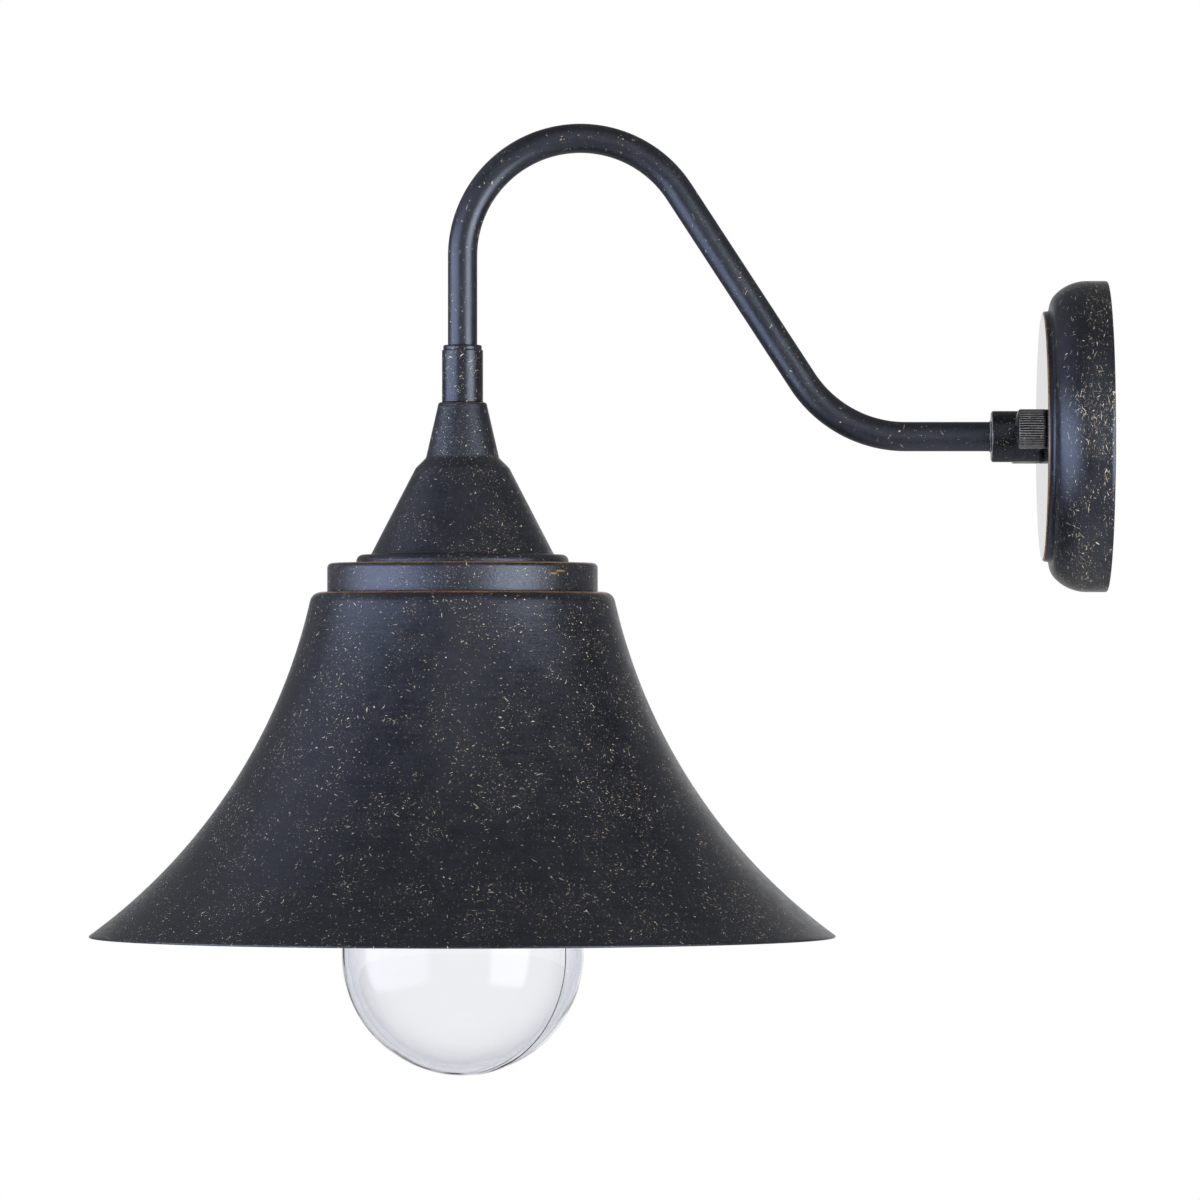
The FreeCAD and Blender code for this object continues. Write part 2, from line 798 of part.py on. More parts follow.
def make_wall_washer():
    body = ring(
        "wall_lock_washer", NIPPLE_HOLE_R, S["washer_diameter"] / 2, WALL_NUT_FRONT, PLATE_INNER
    )
    return put_on_wall(body)


def make_wall_nut():
    foot = WALL_NUT_FRONT - S["pipe_nut_height"]
    body = hex_nut("wall_nipple_nut", S["pipe_nut_flats"], S["pipe_nut_height"], NIPPLE_HOLE_R, foot)
    return put_on_wall(body)


def make_wall_collar():
    radius = S["wall_collar_diameter"] / 2
    bore = TUBE_R + S["slip_fit"] / 2
    bead_foot = bore + S["collar_bead_height"]
    front = COLLAR_FRONT
    body = turned(
        "wall_collar",
        [
            Corner(NIPPLE_HOLE_R, PLATE_FACE),
            Corner(radius, PLATE_FACE),
            Corner(radius, front, S["wall_collar_edge"]),
            Corner(bead_foot, front),
            Corner(bore + S["slip_fit"], front + S["collar_bead_length"]),
            Corner(bore, front + S["collar_bead_length"]),
            Corner(bore, ARM_START),
            Corner(NIPPLE_HOLE_R, ARM_START),
        ],
    )
    hole = S["set_screw_diameter"] / 2
    reach = radius + OVERRUN
    height = (ARM_START + front) / 2
    pad(body, "set_screw_hole", "XZ_Plane", reach, [(ZERO, height, hole)], cut=True)
    return put_on_wall(body)


def make_set_screw():
    """A grub screw in the underside of the wall collar, with a hexagon key hole."""
    body = new_body("collar_set_screw")
    radius = S["set_screw_diameter"] / 2
    foot = keep("set_screw_foot", TUBE_R)
    pad(
        body,
        "set_screw_shank",
        "XY_Plane",
        S["set_screw_length"],
        [(ZERO, ZERO, radius)],
        lift=foot,
    )
    pad(
        body,
        "set_screw_key_hole",
        "XY_Plane",
        S["set_screw_key_depth"],
        outline=hexagon(S["set_screw_key"]),
        lift=foot + S["set_screw_length"] - S["set_screw_key_depth"],
        cut=True,
    )
    return place(body, y=-(ARM_START + COLLAR_FRONT) / 2, turn=DOWNWARD)


def arm_corners(wall_end, head_end):
    """The arm's centre line in the plane of (Y, Z), from the wall's end to the head's end."""
    out, low = S["lower_bend_out"], S["lower_bend_radius"]
    reach, crest = S["head_reach"], CREST_R
    return [
        Corner(-wall_end, ZERO),
        Corner(-out, ZERO, bulge=low, side=-1),
        Corner(LOW_TOUCH_Y, LOW_TOUCH_Z),
        Corner(HIGH_TOUCH_Y, HIGH_TOUCH_Z, bulge=crest, side=1),
        Corner(-(reach - crest), S["crest_height"] + crest, bulge=crest, side=1),
        Corner(-reach, S["crest_height"]),
        Corner(-reach, head_end),
    ]


def backwards(corners):
    """The same route walked the other way."""
    flipped = [Corner(corner.x, corner.y) for corner in reversed(corners)]
    for corner, past in zip(flipped, reversed(corners[:-1])):
        corner.bulge, corner.side = past.bulge, -past.side
    return flipped


def piped(name, corners, circles, role, lift):
    """Carries a section of circles along a path drawn in the plane of (Y, Z)."""
    body = new_body(name)
    path = new_sketch(body, name + "_path", "YZ_Plane")
    draw(path, corners, closed=False)
    section = new_sketch(body, name + "_section", role, lift)
    for x, y, radius in circles:
        add_circle(section, x, y, radius)
    pipe = body.newObject("PartDesign::AdditivePipe", name + "_pipe")
    pipe.Profile = section
    pipe.Spine = (path, [f"Edge{i + 1}" for i in range(len(corners) - 1)])
    path.Visibility = False
    section.Visibility = False
    return body


def make_arm():
    bore = TUBE_R - S["tube_wall"]
    circles = [(ZERO, ZERO, TUBE_R), (ZERO, ZERO, bore)]
    return piped("arm_tube", arm_corners(ARM_START, ARM_END), circles, "XZ_Plane", ARM_START)


# Head


def make_lock_ring():
    bore = TUBE_R + S["slip_fit"] / 2
    radius = S["lock_ring_diameter"] / 2
    body = turned(
        "head_lock_ring",
        [
            Corner(bore, COLLAR_TOP),
            Corner(radius, COLLAR_TOP),
            Corner(radius, S["head_top"], S["lock_ring_edge"]),
            Corner(bore, S["head_top"]),
        ],
    )
    return put_on_head(body)


def make_head_collar():
    radius = S["head_collar_diameter"] / 2
    bore = TUBE_R + S["slip_fit"] / 2
    cut = S["collar_chamfer"]
    body = turned(
        "head_collar",
        [
            Corner(NIPPLE_HOLE_R, COVER_TOP),
            Corner(radius - cut, COVER_TOP),
            Corner(radius, COVER_TOP + cut),
            Corner(radius, COLLAR_TOP - cut),
            Corner(radius - cut, COLLAR_TOP),
            Corner(bore, COLLAR_TOP),
            Corner(bore, ARM_END),
            Corner(NIPPLE_HOLE_R, ARM_END),
        ],
    )
    return put_on_head(body)


def make_head_nipple():
    foot = LAMP_TOP - S["lampholder_screw_depth"] + S["running_gap"]
    return put_on_head(nipple("head_nipple", foot, COVER_TOP + S["nipple_inset"]))


def make_socket_cover():
    """Two cones joined by a rounded step, with a rolled foot. Its inside follows its outside."""
    top, neck = S["neck_top_diameter"] / 2, S["neck_foot_diameter"] / 2
    step, foot = S["step_foot_diameter"] / 2, S["cone_foot_diameter"] / 2
    flange = S["flange_diameter"] / 2
    wall = S["cover_wall"]
    body = turned(
        "socket_cover",
        [
            Corner(NIPPLE_HOLE_R, COVER_TOP),
            Corner(NIPPLE_HOLE_R, COVER_TOP - wall),
            Corner(top - wall, COVER_TOP - wall),
            Corner(neck - wall, STEP_TOP, S["step_hollow"] + wall),
            Corner(step - wall, STEP_FOOT, S["step_round"] - wall),
            Corner(foot - wall, CONE_FOOT),
            Corner(foot - wall, CAP_TOP),
            Corner(flange, CAP_TOP),
            Corner(flange, CONE_FOOT, S["flange_round"]),
            Corner(foot, CONE_FOOT, S["cone_hollow"]),
            Corner(step, STEP_FOOT, S["step_round"]),
            Corner(neck, STEP_TOP, S["step_hollow"]),
            Corner(top, COVER_TOP, S["neck_edge"]),
        ],
    )
    return put_on_head(body)


def make_cover_nut():
    foot = COVER_TOP - S["cover_wall"] - S["pipe_nut_height"]
    nut = hex_nut("cover_nut", S["pipe_nut_flats"], S["pipe_nut_height"], NIPPLE_HOLE_R, foot)
    return put_on_head(nut)


def make_shade_cap():
    """The round band between the cover's foot and the shade."""
    radius = SHADE_TOP_R - S["cap_margin"]
    wall = S["cap_wall"]
    body = turned(
        "shade_cap",
        [
            Corner(NIPPLE_HOLE_R, CAP_TOP),
            Corner(NIPPLE_HOLE_R, CAP_TOP - wall),
            Corner(radius - wall, CAP_TOP - wall, S["cap_edge"] - wall),
            Corner(radius - wall, SHADE_TOP),
            Corner(radius, SHADE_TOP),
            Corner(radius, CAP_TOP, S["cap_edge"]),
        ],
    )
    return put_on_head(body)


def make_shade():
    """The bell: a flat top, a rounded shoulder and one long flare, all of one sheet."""
    top, rim = SHADE_TOP_R, S["shade_rim_diameter"] / 2
    height, flare, sheet_t = S["shade_height"], S["shade_flare_radius"], S["shade_sheet"]
    run = rim - top
    chord = keep("flare_chord", (run * run + height * height).root())
    stand = keep("flare_stand", (flare * flare - chord * chord / 4).root())
    centre_r = keep("flare_centre_radius", (top + rim) / 2 + stand * height / chord)
    centre_z = keep("flare_centre_height", (SHADE_TOP + RIM) / 2 + stand * run / chord)
    shoulder = S["shade_shoulder"]
    reach = flare + shoulder
    drop = SHADE_TOP - shoulder - centre_z
    bend_r = keep("shoulder_centre_radius", centre_r - (reach * reach - drop * drop).root())
    bend_z = keep("shoulder_centre_height", SHADE_TOP - shoulder)

    def on_flare(radius):
        """Where the line of the two centres meets an arc about the flare's centre."""
        share = radius / reach
        return centre_r + (bend_r - centre_r) * share, centre_z + (bend_z - centre_z) * share

    inner = flare + sheet_t
    touch_r, touch_z = on_flare(flare)
    inner_r, inner_z = on_flare(inner)
    edge_share = inner / flare
    rim_in_r = centre_r + (rim - centre_r) * edge_share
    rim_in_z = centre_z + (RIM - centre_z) * edge_share
    body = turned(
        "shade",
        [
            Corner(NIPPLE_HOLE_R, SHADE_TOP),
            Corner(bend_r, SHADE_TOP, bulge=shoulder, side=-1),
            Corner(keep("touch_r", touch_r), keep("touch_z", touch_z), bulge=flare, side=1),
            Corner(rim, RIM),
            Corner(keep("rim_in_r", rim_in_r), keep("rim_in_z", rim_in_z), bulge=inner, side=-1),
            Corner(
                keep("inner_r", inner_r),
                keep("inner_z", inner_z),
                bulge=shoulder - sheet_t,
                side=1,
            ),
            Corner(bend_r, HOLDER_TOP),
            Corner(NIPPLE_HOLE_R, HOLDER_TOP),
        ],
    )
    return put_on_head(body)


def helix_bead(name, radius, foot, bead):
    """One turn of a round bead along a right-handed helix about Z."""
    helix = doc.addObject("Part::Helix", name + "_helix")
    bind(helix, "Pitch", S["jar_thread_pitch"])
    bind(helix, "Height", S["jar_thread_pitch"])
    bind(helix, "Radius", radius)
    bind(helix, "Placement.Base.z", foot)
    circle = doc.addObject("Part::Circle", name + "_section")
    bind(circle, "Radius", bead)
    place(circle, radius, ZERO, foot, OUTWARD)
    sweep = doc.addObject("Part::Sweep", name + "_sweep")
    sweep.Sections = [circle]
    sweep.Spine = (helix, ["Edge1"])
    sweep.Solid = True
    sweep.Frenet = True
    return sweep


def joined(name, base, tool):
    """Fuses a tool to a base, as one document object that has its own label."""
    fuse = doc.addObject("Part::Fuse", name)
    fuse.Base = base
    fuse.Tool = tool
    fuse.Label = name
    return fuse


THREAD_FOOT = keep("thread_foot", SKIRT_FOOT + S["jar_thread_lead_in"])


def make_jar_holder():
    """The cup that the jar screws into: a web under the shade's top and a threaded skirt."""
    cup = turned(
        "holder_cup",
        [
            Corner(NIPPLE_HOLE_R, HOLDER_TOP),
            Corner(NIPPLE_HOLE_R, WEB_FOOT),
            Corner(HOLDER_BORE_R, WEB_FOOT),
            Corner(HOLDER_BORE_R, SKIRT_FOOT),
            Corner(HOLDER_R, SKIRT_FOOT),
            Corner(HOLDER_R, WEB_FOOT),
            Corner(HOLDER_FLANGE_R, WEB_FOOT),
            Corner(HOLDER_FLANGE_R, HOLDER_TOP),
        ],
    )
    bead = helix_bead("holder_thread", HOLDER_BORE_R, THREAD_FOOT, S["jar_thread_bead"])
    return put_on_head(joined("jar_holder", cup, bead))


def make_holder_washer():
    body = ring(
        "holder_lock_washer", NIPPLE_HOLE_R, S["washer_diameter"] / 2, HOLDER_NUT_TOP, WEB_FOOT
    )
    return put_on_head(body)


def make_holder_nut():
    nut = hex_nut(
        "holder_nut", S["pipe_nut_flats"], S["pipe_nut_height"], NIPPLE_HOLE_R, LAMP_TOP
    )
    return put_on_head(nut)


def make_jar_gasket():
    inner, outer = NECK_R + S["running_gap"], HOLDER_R - S["jar_gasket_inset"]
    body = ring("jar_gasket", inner, outer, JAR_LAND, SKIRT_FOOT)
    return put_on_head(body)


def make_jar():
    """A straight jar with a round bottom, a shoulder and a neck with one turn of thread."""
    neck, outer = NECK_R, JAR_R
    neck_in = neck - S["jar_neck_wall"]
    inner = outer - S["jar_wall"]
    top = keep("jar_top", WEB_FOOT - S["jar_neck_gap"])
    wall = S["jar_wall"]
    rounding = S["jar_shoulder_round"]
    jar = turned(
        "jar_body",
        [
            Corner(ZERO, JAR_FOOT, bulge=outer),
            Corner(outer, JAR_ROUND),
            Corner(outer, JAR_LAND, rounding),
            Corner(neck, JAR_LAND),
            Corner(neck, top, S["jar_neck_wall"] / 3),
            Corner(neck_in, top, S["jar_neck_wall"] / 3),
            Corner(neck_in, JAR_LAND - wall),
            Corner(inner, JAR_LAND - wall, rounding - wall),
            Corner(inner, JAR_ROUND, bulge=inner, side=-1),
            Corner(ZERO, JAR_FOOT + wall),
        ],
    )
    foot = THREAD_FOOT + S["jar_thread_pitch"] / 2
    bead = helix_bead("jar_thread", neck, foot, S["jar_thread_bead"])
    return put_on_head(joined("glass_jar", jar, bead))


# Lampholder


def make_lampholder():
    """Porcelain: a screwed neck, a wiring chamber, a partition and the bore for the screw shell."""
    neck, outer = S["lampholder_neck_diameter"] / 2, S["lampholder_diameter"] / 2
    shell = S["shell_bore"] / 2 + S["shell_sheet"] + S["shell_seat_gap"]
    low_neck = LAMP_TOP - S["lampholder_neck_height"]
    shoulder = low_neck - S["lampholder_shoulder"]
    foot = keep("lamp_foot", LAMP_TOP - S["lampholder_height"])
    chamber = S["chamber_diameter"] / 2
    body = turned(
        "lampholder_body",
        [
            Corner(NIPPLE_HOLE_R, LAMP_TOP),
            Corner(NIPPLE_HOLE_R, CHAMBER_TOP),
            Corner(chamber, CHAMBER_TOP),
            Corner(chamber, CHAMBER_FOOT),
            Corner(ZERO, CHAMBER_FOOT),
            Corner(ZERO, SHELL_TOP),
            Corner(shell, SHELL_TOP),
            Corner(shell, foot, S["lampholder_edge"] / 2),
            Corner(outer, foot, S["lampholder_edge"]),
            Corner(outer, shoulder, S["lampholder_edge"]),
            Corner(neck, low_neck, S["lampholder_edge"]),
            Corner(neck, LAMP_TOP, S["lampholder_edge"] / 2),
        ],
    )
    hole = S["rivet_diameter"] / 2
    circles = [(S["live_rivet_offset"], ZERO, hole), (-S["shell_rivet_offset"], ZERO, hole)]
    pad(
        body,
        "rivet_holes",
        "XY_Plane",
        S["partition"] + OVERRUN,
        circles,
        lift=SHELL_TOP - OVERRUN / 2,
        cut=True,
    )
    return put_on_head(body)


def make_screw_shell():
    bore = S["shell_bore"] / 2
    sheet_t = S["shell_sheet"]
    flange = S["shell_flange_hole"] / 2
    foot = SHELL_TOP - S["shell_length"]
    body = turned(
        "screw_shell",
        [
            Corner(flange, SHELL_TOP),
            Corner(flange, SHELL_TOP - sheet_t),
            Corner(bore, SHELL_TOP - sheet_t),
            Corner(bore, foot),
            Corner(bore + sheet_t, foot),
            Corner(bore + sheet_t, SHELL_TOP),
        ],
    )
    hole = [(-S["shell_rivet_offset"], ZERO, S["rivet_diameter"] / 2)]
    pad(
        body,
        "shell_rivet_hole",
        "XY_Plane",
        sheet_t + OVERRUN,
        hole,
        lift=SHELL_TOP - sheet_t - OVERRUN / 2,
        cut=True,
    )
    return put_on_head(body)


def make_rivet(name, offset, seat):
    """A rivet through the partition, with a head under the sheet that it holds."""
    head, shank = S["rivet_head_diameter"] / 2, S["rivet_diameter"] / 2
    body = turned(
        name,
        [
            Corner(ZERO, CHAMBER_FOOT),
            Corner(ZERO, seat - S["rivet_head_height"]),
            Corner(head, seat - S["rivet_head_height"], S["rivet_head_height"] / 2),
            Corner(head, seat),
            Corner(shank, seat),
            Corner(shank, CHAMBER_FOOT),
        ],
    )
    return put_on_head(body, offset)


def make_contact_leaf():
    """The sprung leaf that a bulb's tip presses: a root under the partition, a slope and a flat tip."""
    body = new_body("contact_leaf")
    thick, root, wide = S["leaf_thickness"], S["leaf_root"], S["leaf_width"]
    high = LEAF_TOP
    start = S["live_rivet_offset"] + root / 2
    turn = S["live_rivet_offset"] - root / 2
    low = high - S["leaf_drop"]
    tip = turn - S["leaf_reach"] + S["leaf_tip"]
    end = turn - S["leaf_reach"]
    sketch = new_sketch(body, "leaf_outline", "XZ_Plane")
    draw(
        sketch,
        [
            Corner(start, high),
            Corner(turn, high),
            Corner(tip, low),
            Corner(end, low),
            Corner(end, low - thick),
            Corner(tip, low - thick),
            Corner(turn, high - thick),
            Corner(start, high - thick),
        ],
    )
    leaf = body.newObject("PartDesign::Pad", "leaf_sheet")
    leaf.Profile = sketch
    leaf.Midplane = True
    bind(leaf, "Length", wide)
    hole = S["rivet_diameter"] / 2 + S["running_gap"]
    circles = [(S["live_rivet_offset"], ZERO, hole)]
    pad(
        body,
        "leaf_rivet_hole",
        "XY_Plane",
        thick + OVERRUN,
        circles,
        lift=high - thick - OVERRUN / 2,
        cut=True,
    )
    return put_on_head(body)


def make_terminal(name, near, far):
    """A brass block on the chamber's floor, under the end of one lead."""
    body = new_body(name)
    wide = S["terminal_width"] / 2
    outline = rectangle(near, -wide, far, wide)
    pad(body, name + "_block", "XY_Plane", S["terminal_height"], outline=outline, lift=CHAMBER_FOOT)
    return put_on_head(body)


def make_terminals():
    half_gap = S["terminal_gap"] / 2
    live_end = S["live_rivet_offset"] + S["rivet_head_diameter"] / 2
    shell_end = S["shell_rivet_offset"] + S["rivet_diameter"] / 2
    make_terminal("live_terminal", half_gap, live_end)
    make_terminal("neutral_terminal", -shell_end, -half_gap)


# Leads and connectors


def make_lead(name, side, upward):
    """A lead from its terminal up the head, along the arm and into its connector."""
    bend = S["lead_bend_radius"]
    end = S["connector_start"] + S["connector_depth"]
    corners = [
        Corner(-LEAD_REST, end * upward),
        Corner(-LEAD_REST, bend * upward, bulge=bend, side=-upward),
    ]
    corners += arm_corners(LEAD_EXIT, TERMINAL_TOP)
    circles = [(S["lead_offset"] * side, -S["head_reach"], S["lead_diameter"] / 2)]
    return piped(name, backwards(corners), circles, "XY_Plane", TERMINAL_TOP)


def make_connector(name, side, upward):
    """A twist-on connector: a tapered cap with a blind mouth that faces the middle of the plate."""
    mouth, tip = S["connector_mouth_diameter"] / 2, S["connector_tip_diameter"] / 2
    length = S["connector_length"]
    bore = S["lead_diameter"] / 2
    body = turned(
        name,
        [
            Corner(bore, ZERO),
            Corner(mouth, ZERO, bore / 2),
            Corner(tip, length, bore),
            Corner(ZERO, length),
            Corner(ZERO, S["connector_depth"]),
            Corner(bore, S["connector_depth"]),
        ],
    )
    turn = UPRIGHT if upward > 0 else DOWNWARD
    return place(body, S["lead_offset"] * side, -LEAD_REST, S["connector_start"] * upward, turn)


def make_ground_lead():
    """A bare wire from under the ground screw, over the strap's edge and into its connector."""
    body = new_body("ground_lead")
    radius = S["ground_wire_diameter"] / 2
    low = S["strap_thickness"] + radius
    start = S["ground_screw_diameter"] / 2 + radius
    bend = S["ground_bend_radius"]
    rise = S["ground_rise"]
    end = S["ground_connector_start"] + S["connector_depth"]
    # Two equal tangent arcs lift the wire: each turns by the angle whose versine is half the rise.
    half = rise / 2
    turn_c = (bend - half) / bend
    turn_s = keep("ground_turn_sine", (as_size(1) - turn_c * turn_c).root())
    first = S["strap_width"] / 2
    middle = first + bend * turn_s
    last = first + bend * turn_s * 2
    path = new_sketch(body, "ground_path", "YZ_Plane")
    draw(
        path,
        [
            Corner(start, low),
            Corner(first, low, bulge=bend, side=1),
            Corner(middle, low + half, bulge=bend, side=-1),
            Corner(last, low + rise),
            Corner(end, low + rise),
        ],
        closed=False,
    )
    section = new_sketch(body, "ground_section", "XZ_Plane", -start)
    add_circle(section, ZERO, low, radius)
    pipe = body.newObject("PartDesign::AdditivePipe", "ground_pipe")
    pipe.Profile = section
    pipe.Spine = (path, ["Edge1", "Edge2", "Edge3", "Edge4"])
    return put_on_strap(body, S["ground_screw_offset"])


def make_ground_connector():
    mouth, tip = S["connector_mouth_diameter"] / 2, S["connector_tip_diameter"] / 2
    bore = S["ground_wire_diameter"] / 2
    body = turned(
        "ground_connector",
        [
            Corner(bore, ZERO),
            Corner(mouth, ZERO, bore),
            Corner(tip, S["connector_length"], bore * 2),
            Corner(ZERO, S["connector_length"]),
            Corner(ZERO, S["connector_depth"]),
            Corner(bore, S["connector_depth"]),
        ],
    )
    tilt = S["stud_tilt"]
    out = S["strap_thickness"] + bore + S["ground_rise"]
    along = S["ground_connector_start"]
    offset = S["ground_screw_offset"]
    x = offset * tilt.cosine() - along * tilt.sine()
    z = offset * tilt.sine() + along * tilt.cosine()
    return place(body, x, -out, z, TILT)


def build():
    make_backplate()
    make_wall_foam()
    make_strap()
    make_studs()
    make_stud_nuts()
    make_ground_screw()
    make_knob("cap_nut_right", 1)
    make_knob("cap_nut_left", -1)
    make_seal("nut_seal_right", 1)
    make_seal("nut_seal_left", -1)
    make_wall_nipple()
    make_wall_washer()
    make_wall_nut()
    make_wall_collar()
    make_set_screw()
    make_arm()
    make_lock_ring()
    make_head_collar()
    make_head_nipple()
    make_socket_cover()
    make_cover_nut()
    make_shade_cap()
    make_shade()
    make_jar_holder()
    make_holder_washer()
    make_holder_nut()
    make_jar_gasket()
    make_jar()
    make_lampholder()
    make_screw_shell()
    make_rivet("shell_rivet", -S["shell_rivet_offset"], SHELL_TOP - S["shell_sheet"])
    make_rivet("contact_rivet", S["live_rivet_offset"], LEAF_SEAT)
    make_contact_leaf()
    make_terminals()
    make_lead("live_lead", 1, 1)
    make_lead("neutral_lead", -1, -1)
    make_connector("live_connector", 1, 1)
    make_connector("neutral_connector", -1, -1)
    make_ground_lead()
    make_ground_connector()


HELPERS = ("stud_nut", "holder_cup", "jar_body")


def sub_parts():
    """Every labelled piece, without the helpers that other pieces are made from."""
    kinds = ("PartDesign::Body", "Part::Compound", "Part::Fuse")
    return [o for o in doc.Objects if o.TypeId in kinds and o.Label not in HELPERS]


def check(obj):
    if any(word in obj.State for word in ("Invalid", "Error")):
        raise RuntimeError(f"{obj.Name} did not build: {obj.State}")


build()
doc.recompute()
for item in doc.Objects:
    check(item)
os.makedirs("parts", exist_ok=True)
for piece in sub_parts():
    shape = piece.Shape
    if shape.isNull() or not shape.isValid() or not shape.Solids:
        raise RuntimeError(f"{piece.Label} has no valid solid")
    shape.exportStep(os.path.join("parts", piece.Label + ".step"))
    print(f"{piece.Label}: {len(shape.Solids)} solid(s), {shape.Volume:.0f} mm3")
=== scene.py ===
# %% [markdown]
# # An outdoor wall light with a swan-neck arm
#
# The light hangs from a round plate on a wall. A thin tube rises from the plate, bends over like
# a swan's neck and comes down into a bell shade, and a clear glass jar looks out under the rim.
# This lesson dresses its plain solid model: each cell makes one piece or one finish.
#
# The solid model is loaded as a fixed frame. Every new piece is worked out in the same frame, in
# millimetres, and scaled to metres as its mesh is made, so nothing is fitted by eye afterwards.

# %% Load the frame
import json
import math

import bmesh
import bpy
import numpy as np
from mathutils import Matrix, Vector

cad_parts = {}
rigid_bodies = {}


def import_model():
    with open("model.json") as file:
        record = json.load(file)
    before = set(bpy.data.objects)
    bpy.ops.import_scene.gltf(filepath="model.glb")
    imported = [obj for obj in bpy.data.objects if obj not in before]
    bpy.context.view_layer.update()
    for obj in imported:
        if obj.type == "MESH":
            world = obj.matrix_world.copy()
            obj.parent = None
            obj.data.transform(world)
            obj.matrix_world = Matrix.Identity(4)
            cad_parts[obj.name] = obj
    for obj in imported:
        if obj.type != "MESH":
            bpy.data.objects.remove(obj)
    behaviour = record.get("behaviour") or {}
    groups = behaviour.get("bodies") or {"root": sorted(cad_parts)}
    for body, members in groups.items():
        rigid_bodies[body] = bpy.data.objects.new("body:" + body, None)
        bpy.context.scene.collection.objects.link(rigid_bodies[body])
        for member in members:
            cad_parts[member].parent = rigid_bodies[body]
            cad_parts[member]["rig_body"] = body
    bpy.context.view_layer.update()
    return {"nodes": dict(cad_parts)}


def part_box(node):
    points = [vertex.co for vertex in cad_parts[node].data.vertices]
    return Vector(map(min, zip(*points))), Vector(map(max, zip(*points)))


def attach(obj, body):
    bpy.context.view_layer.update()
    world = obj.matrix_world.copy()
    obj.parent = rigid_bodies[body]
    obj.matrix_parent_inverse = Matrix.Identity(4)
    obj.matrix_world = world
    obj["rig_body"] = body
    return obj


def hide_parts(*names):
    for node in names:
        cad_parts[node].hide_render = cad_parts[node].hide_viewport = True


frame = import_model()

MM = 0.001


def corners_of(node):
    """A node's lowest and highest corners, in millimetres."""
    low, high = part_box(node)
    return Vector(low) / MM, Vector(high) / MM


def span_on_head(node):
    """Radius, foot and top of a piece that turns about the shade's upright axis."""
    low, high = corners_of(node)
    return high.x, low.z, high.z


def span_on_wall(node):
    """Radius, and the distances from the wall at which a piece on the plate starts and ends."""
    low, high = corners_of(node)
    return high.x, -high.y, -low.y


shade_low, shade_high = corners_of("shade")
HEAD_Y = (shade_low.y + shade_high.y) / 2

# %% [markdown]
# ## The camera
#
# The photograph was taken square to the arm, with a long lens from far away, so the rim of the
# shade is almost a straight line. The camera looks along -X. A pixel of the 1200 pixel frame
# covers 0.408 mm in the plane of the arm, and that size and the distance give the lens.

# %% Camera
FRAME_PIXELS = 1200
PIXEL_MM = 0.4081
CAMERA_DISTANCE = 3.514
CAMERA_Y, CAMERA_Z = -0.2069, -0.1006
AIM_Z = -0.0667
SENSOR_MM = 36


def add_object(name, data):
    """Puts a new object that shows the data in the scene."""
    made = bpy.data.objects.new(name, data)
    bpy.context.scene.collection.objects.link(made)
    return made


def make_camera():
    """The lens in millimetres is sensor width * distance / width of the view at the arm."""
    lens = bpy.data.cameras.new("lens")
    lens.sensor_width = SENSOR_MM
    lens.lens = SENSOR_MM * CAMERA_DISTANCE / (FRAME_PIXELS * PIXEL_MM * MM)
    camera = add_object("camera", lens)
    camera.location = (CAMERA_DISTANCE, CAMERA_Y, CAMERA_Z)
    aim = Vector((0, CAMERA_Y, AIM_Z)) - camera.location
    camera.rotation_euler = aim.to_track_quat("-Z", "Y").to_euler()
    bpy.context.scene.camera = camera
    return camera


camera = make_camera()
bpy.context.scene.view_settings.view_transform = "Standard"
print("lens:", round(camera.data.lens, 1), "mm")

# %% [markdown]
# ## Shader maths as Python expressions
#
# A procedural finish is mostly arithmetic on numbers that change over the surface, and wiring each
# Math node by hand hides it. So a small class wraps a socket and overloads the operators, and
# `1 - mask` adds its own Math node. Vectors go through Vector Math, and colours are mixed by a
# Mix node, because a Math node would turn a colour grey.


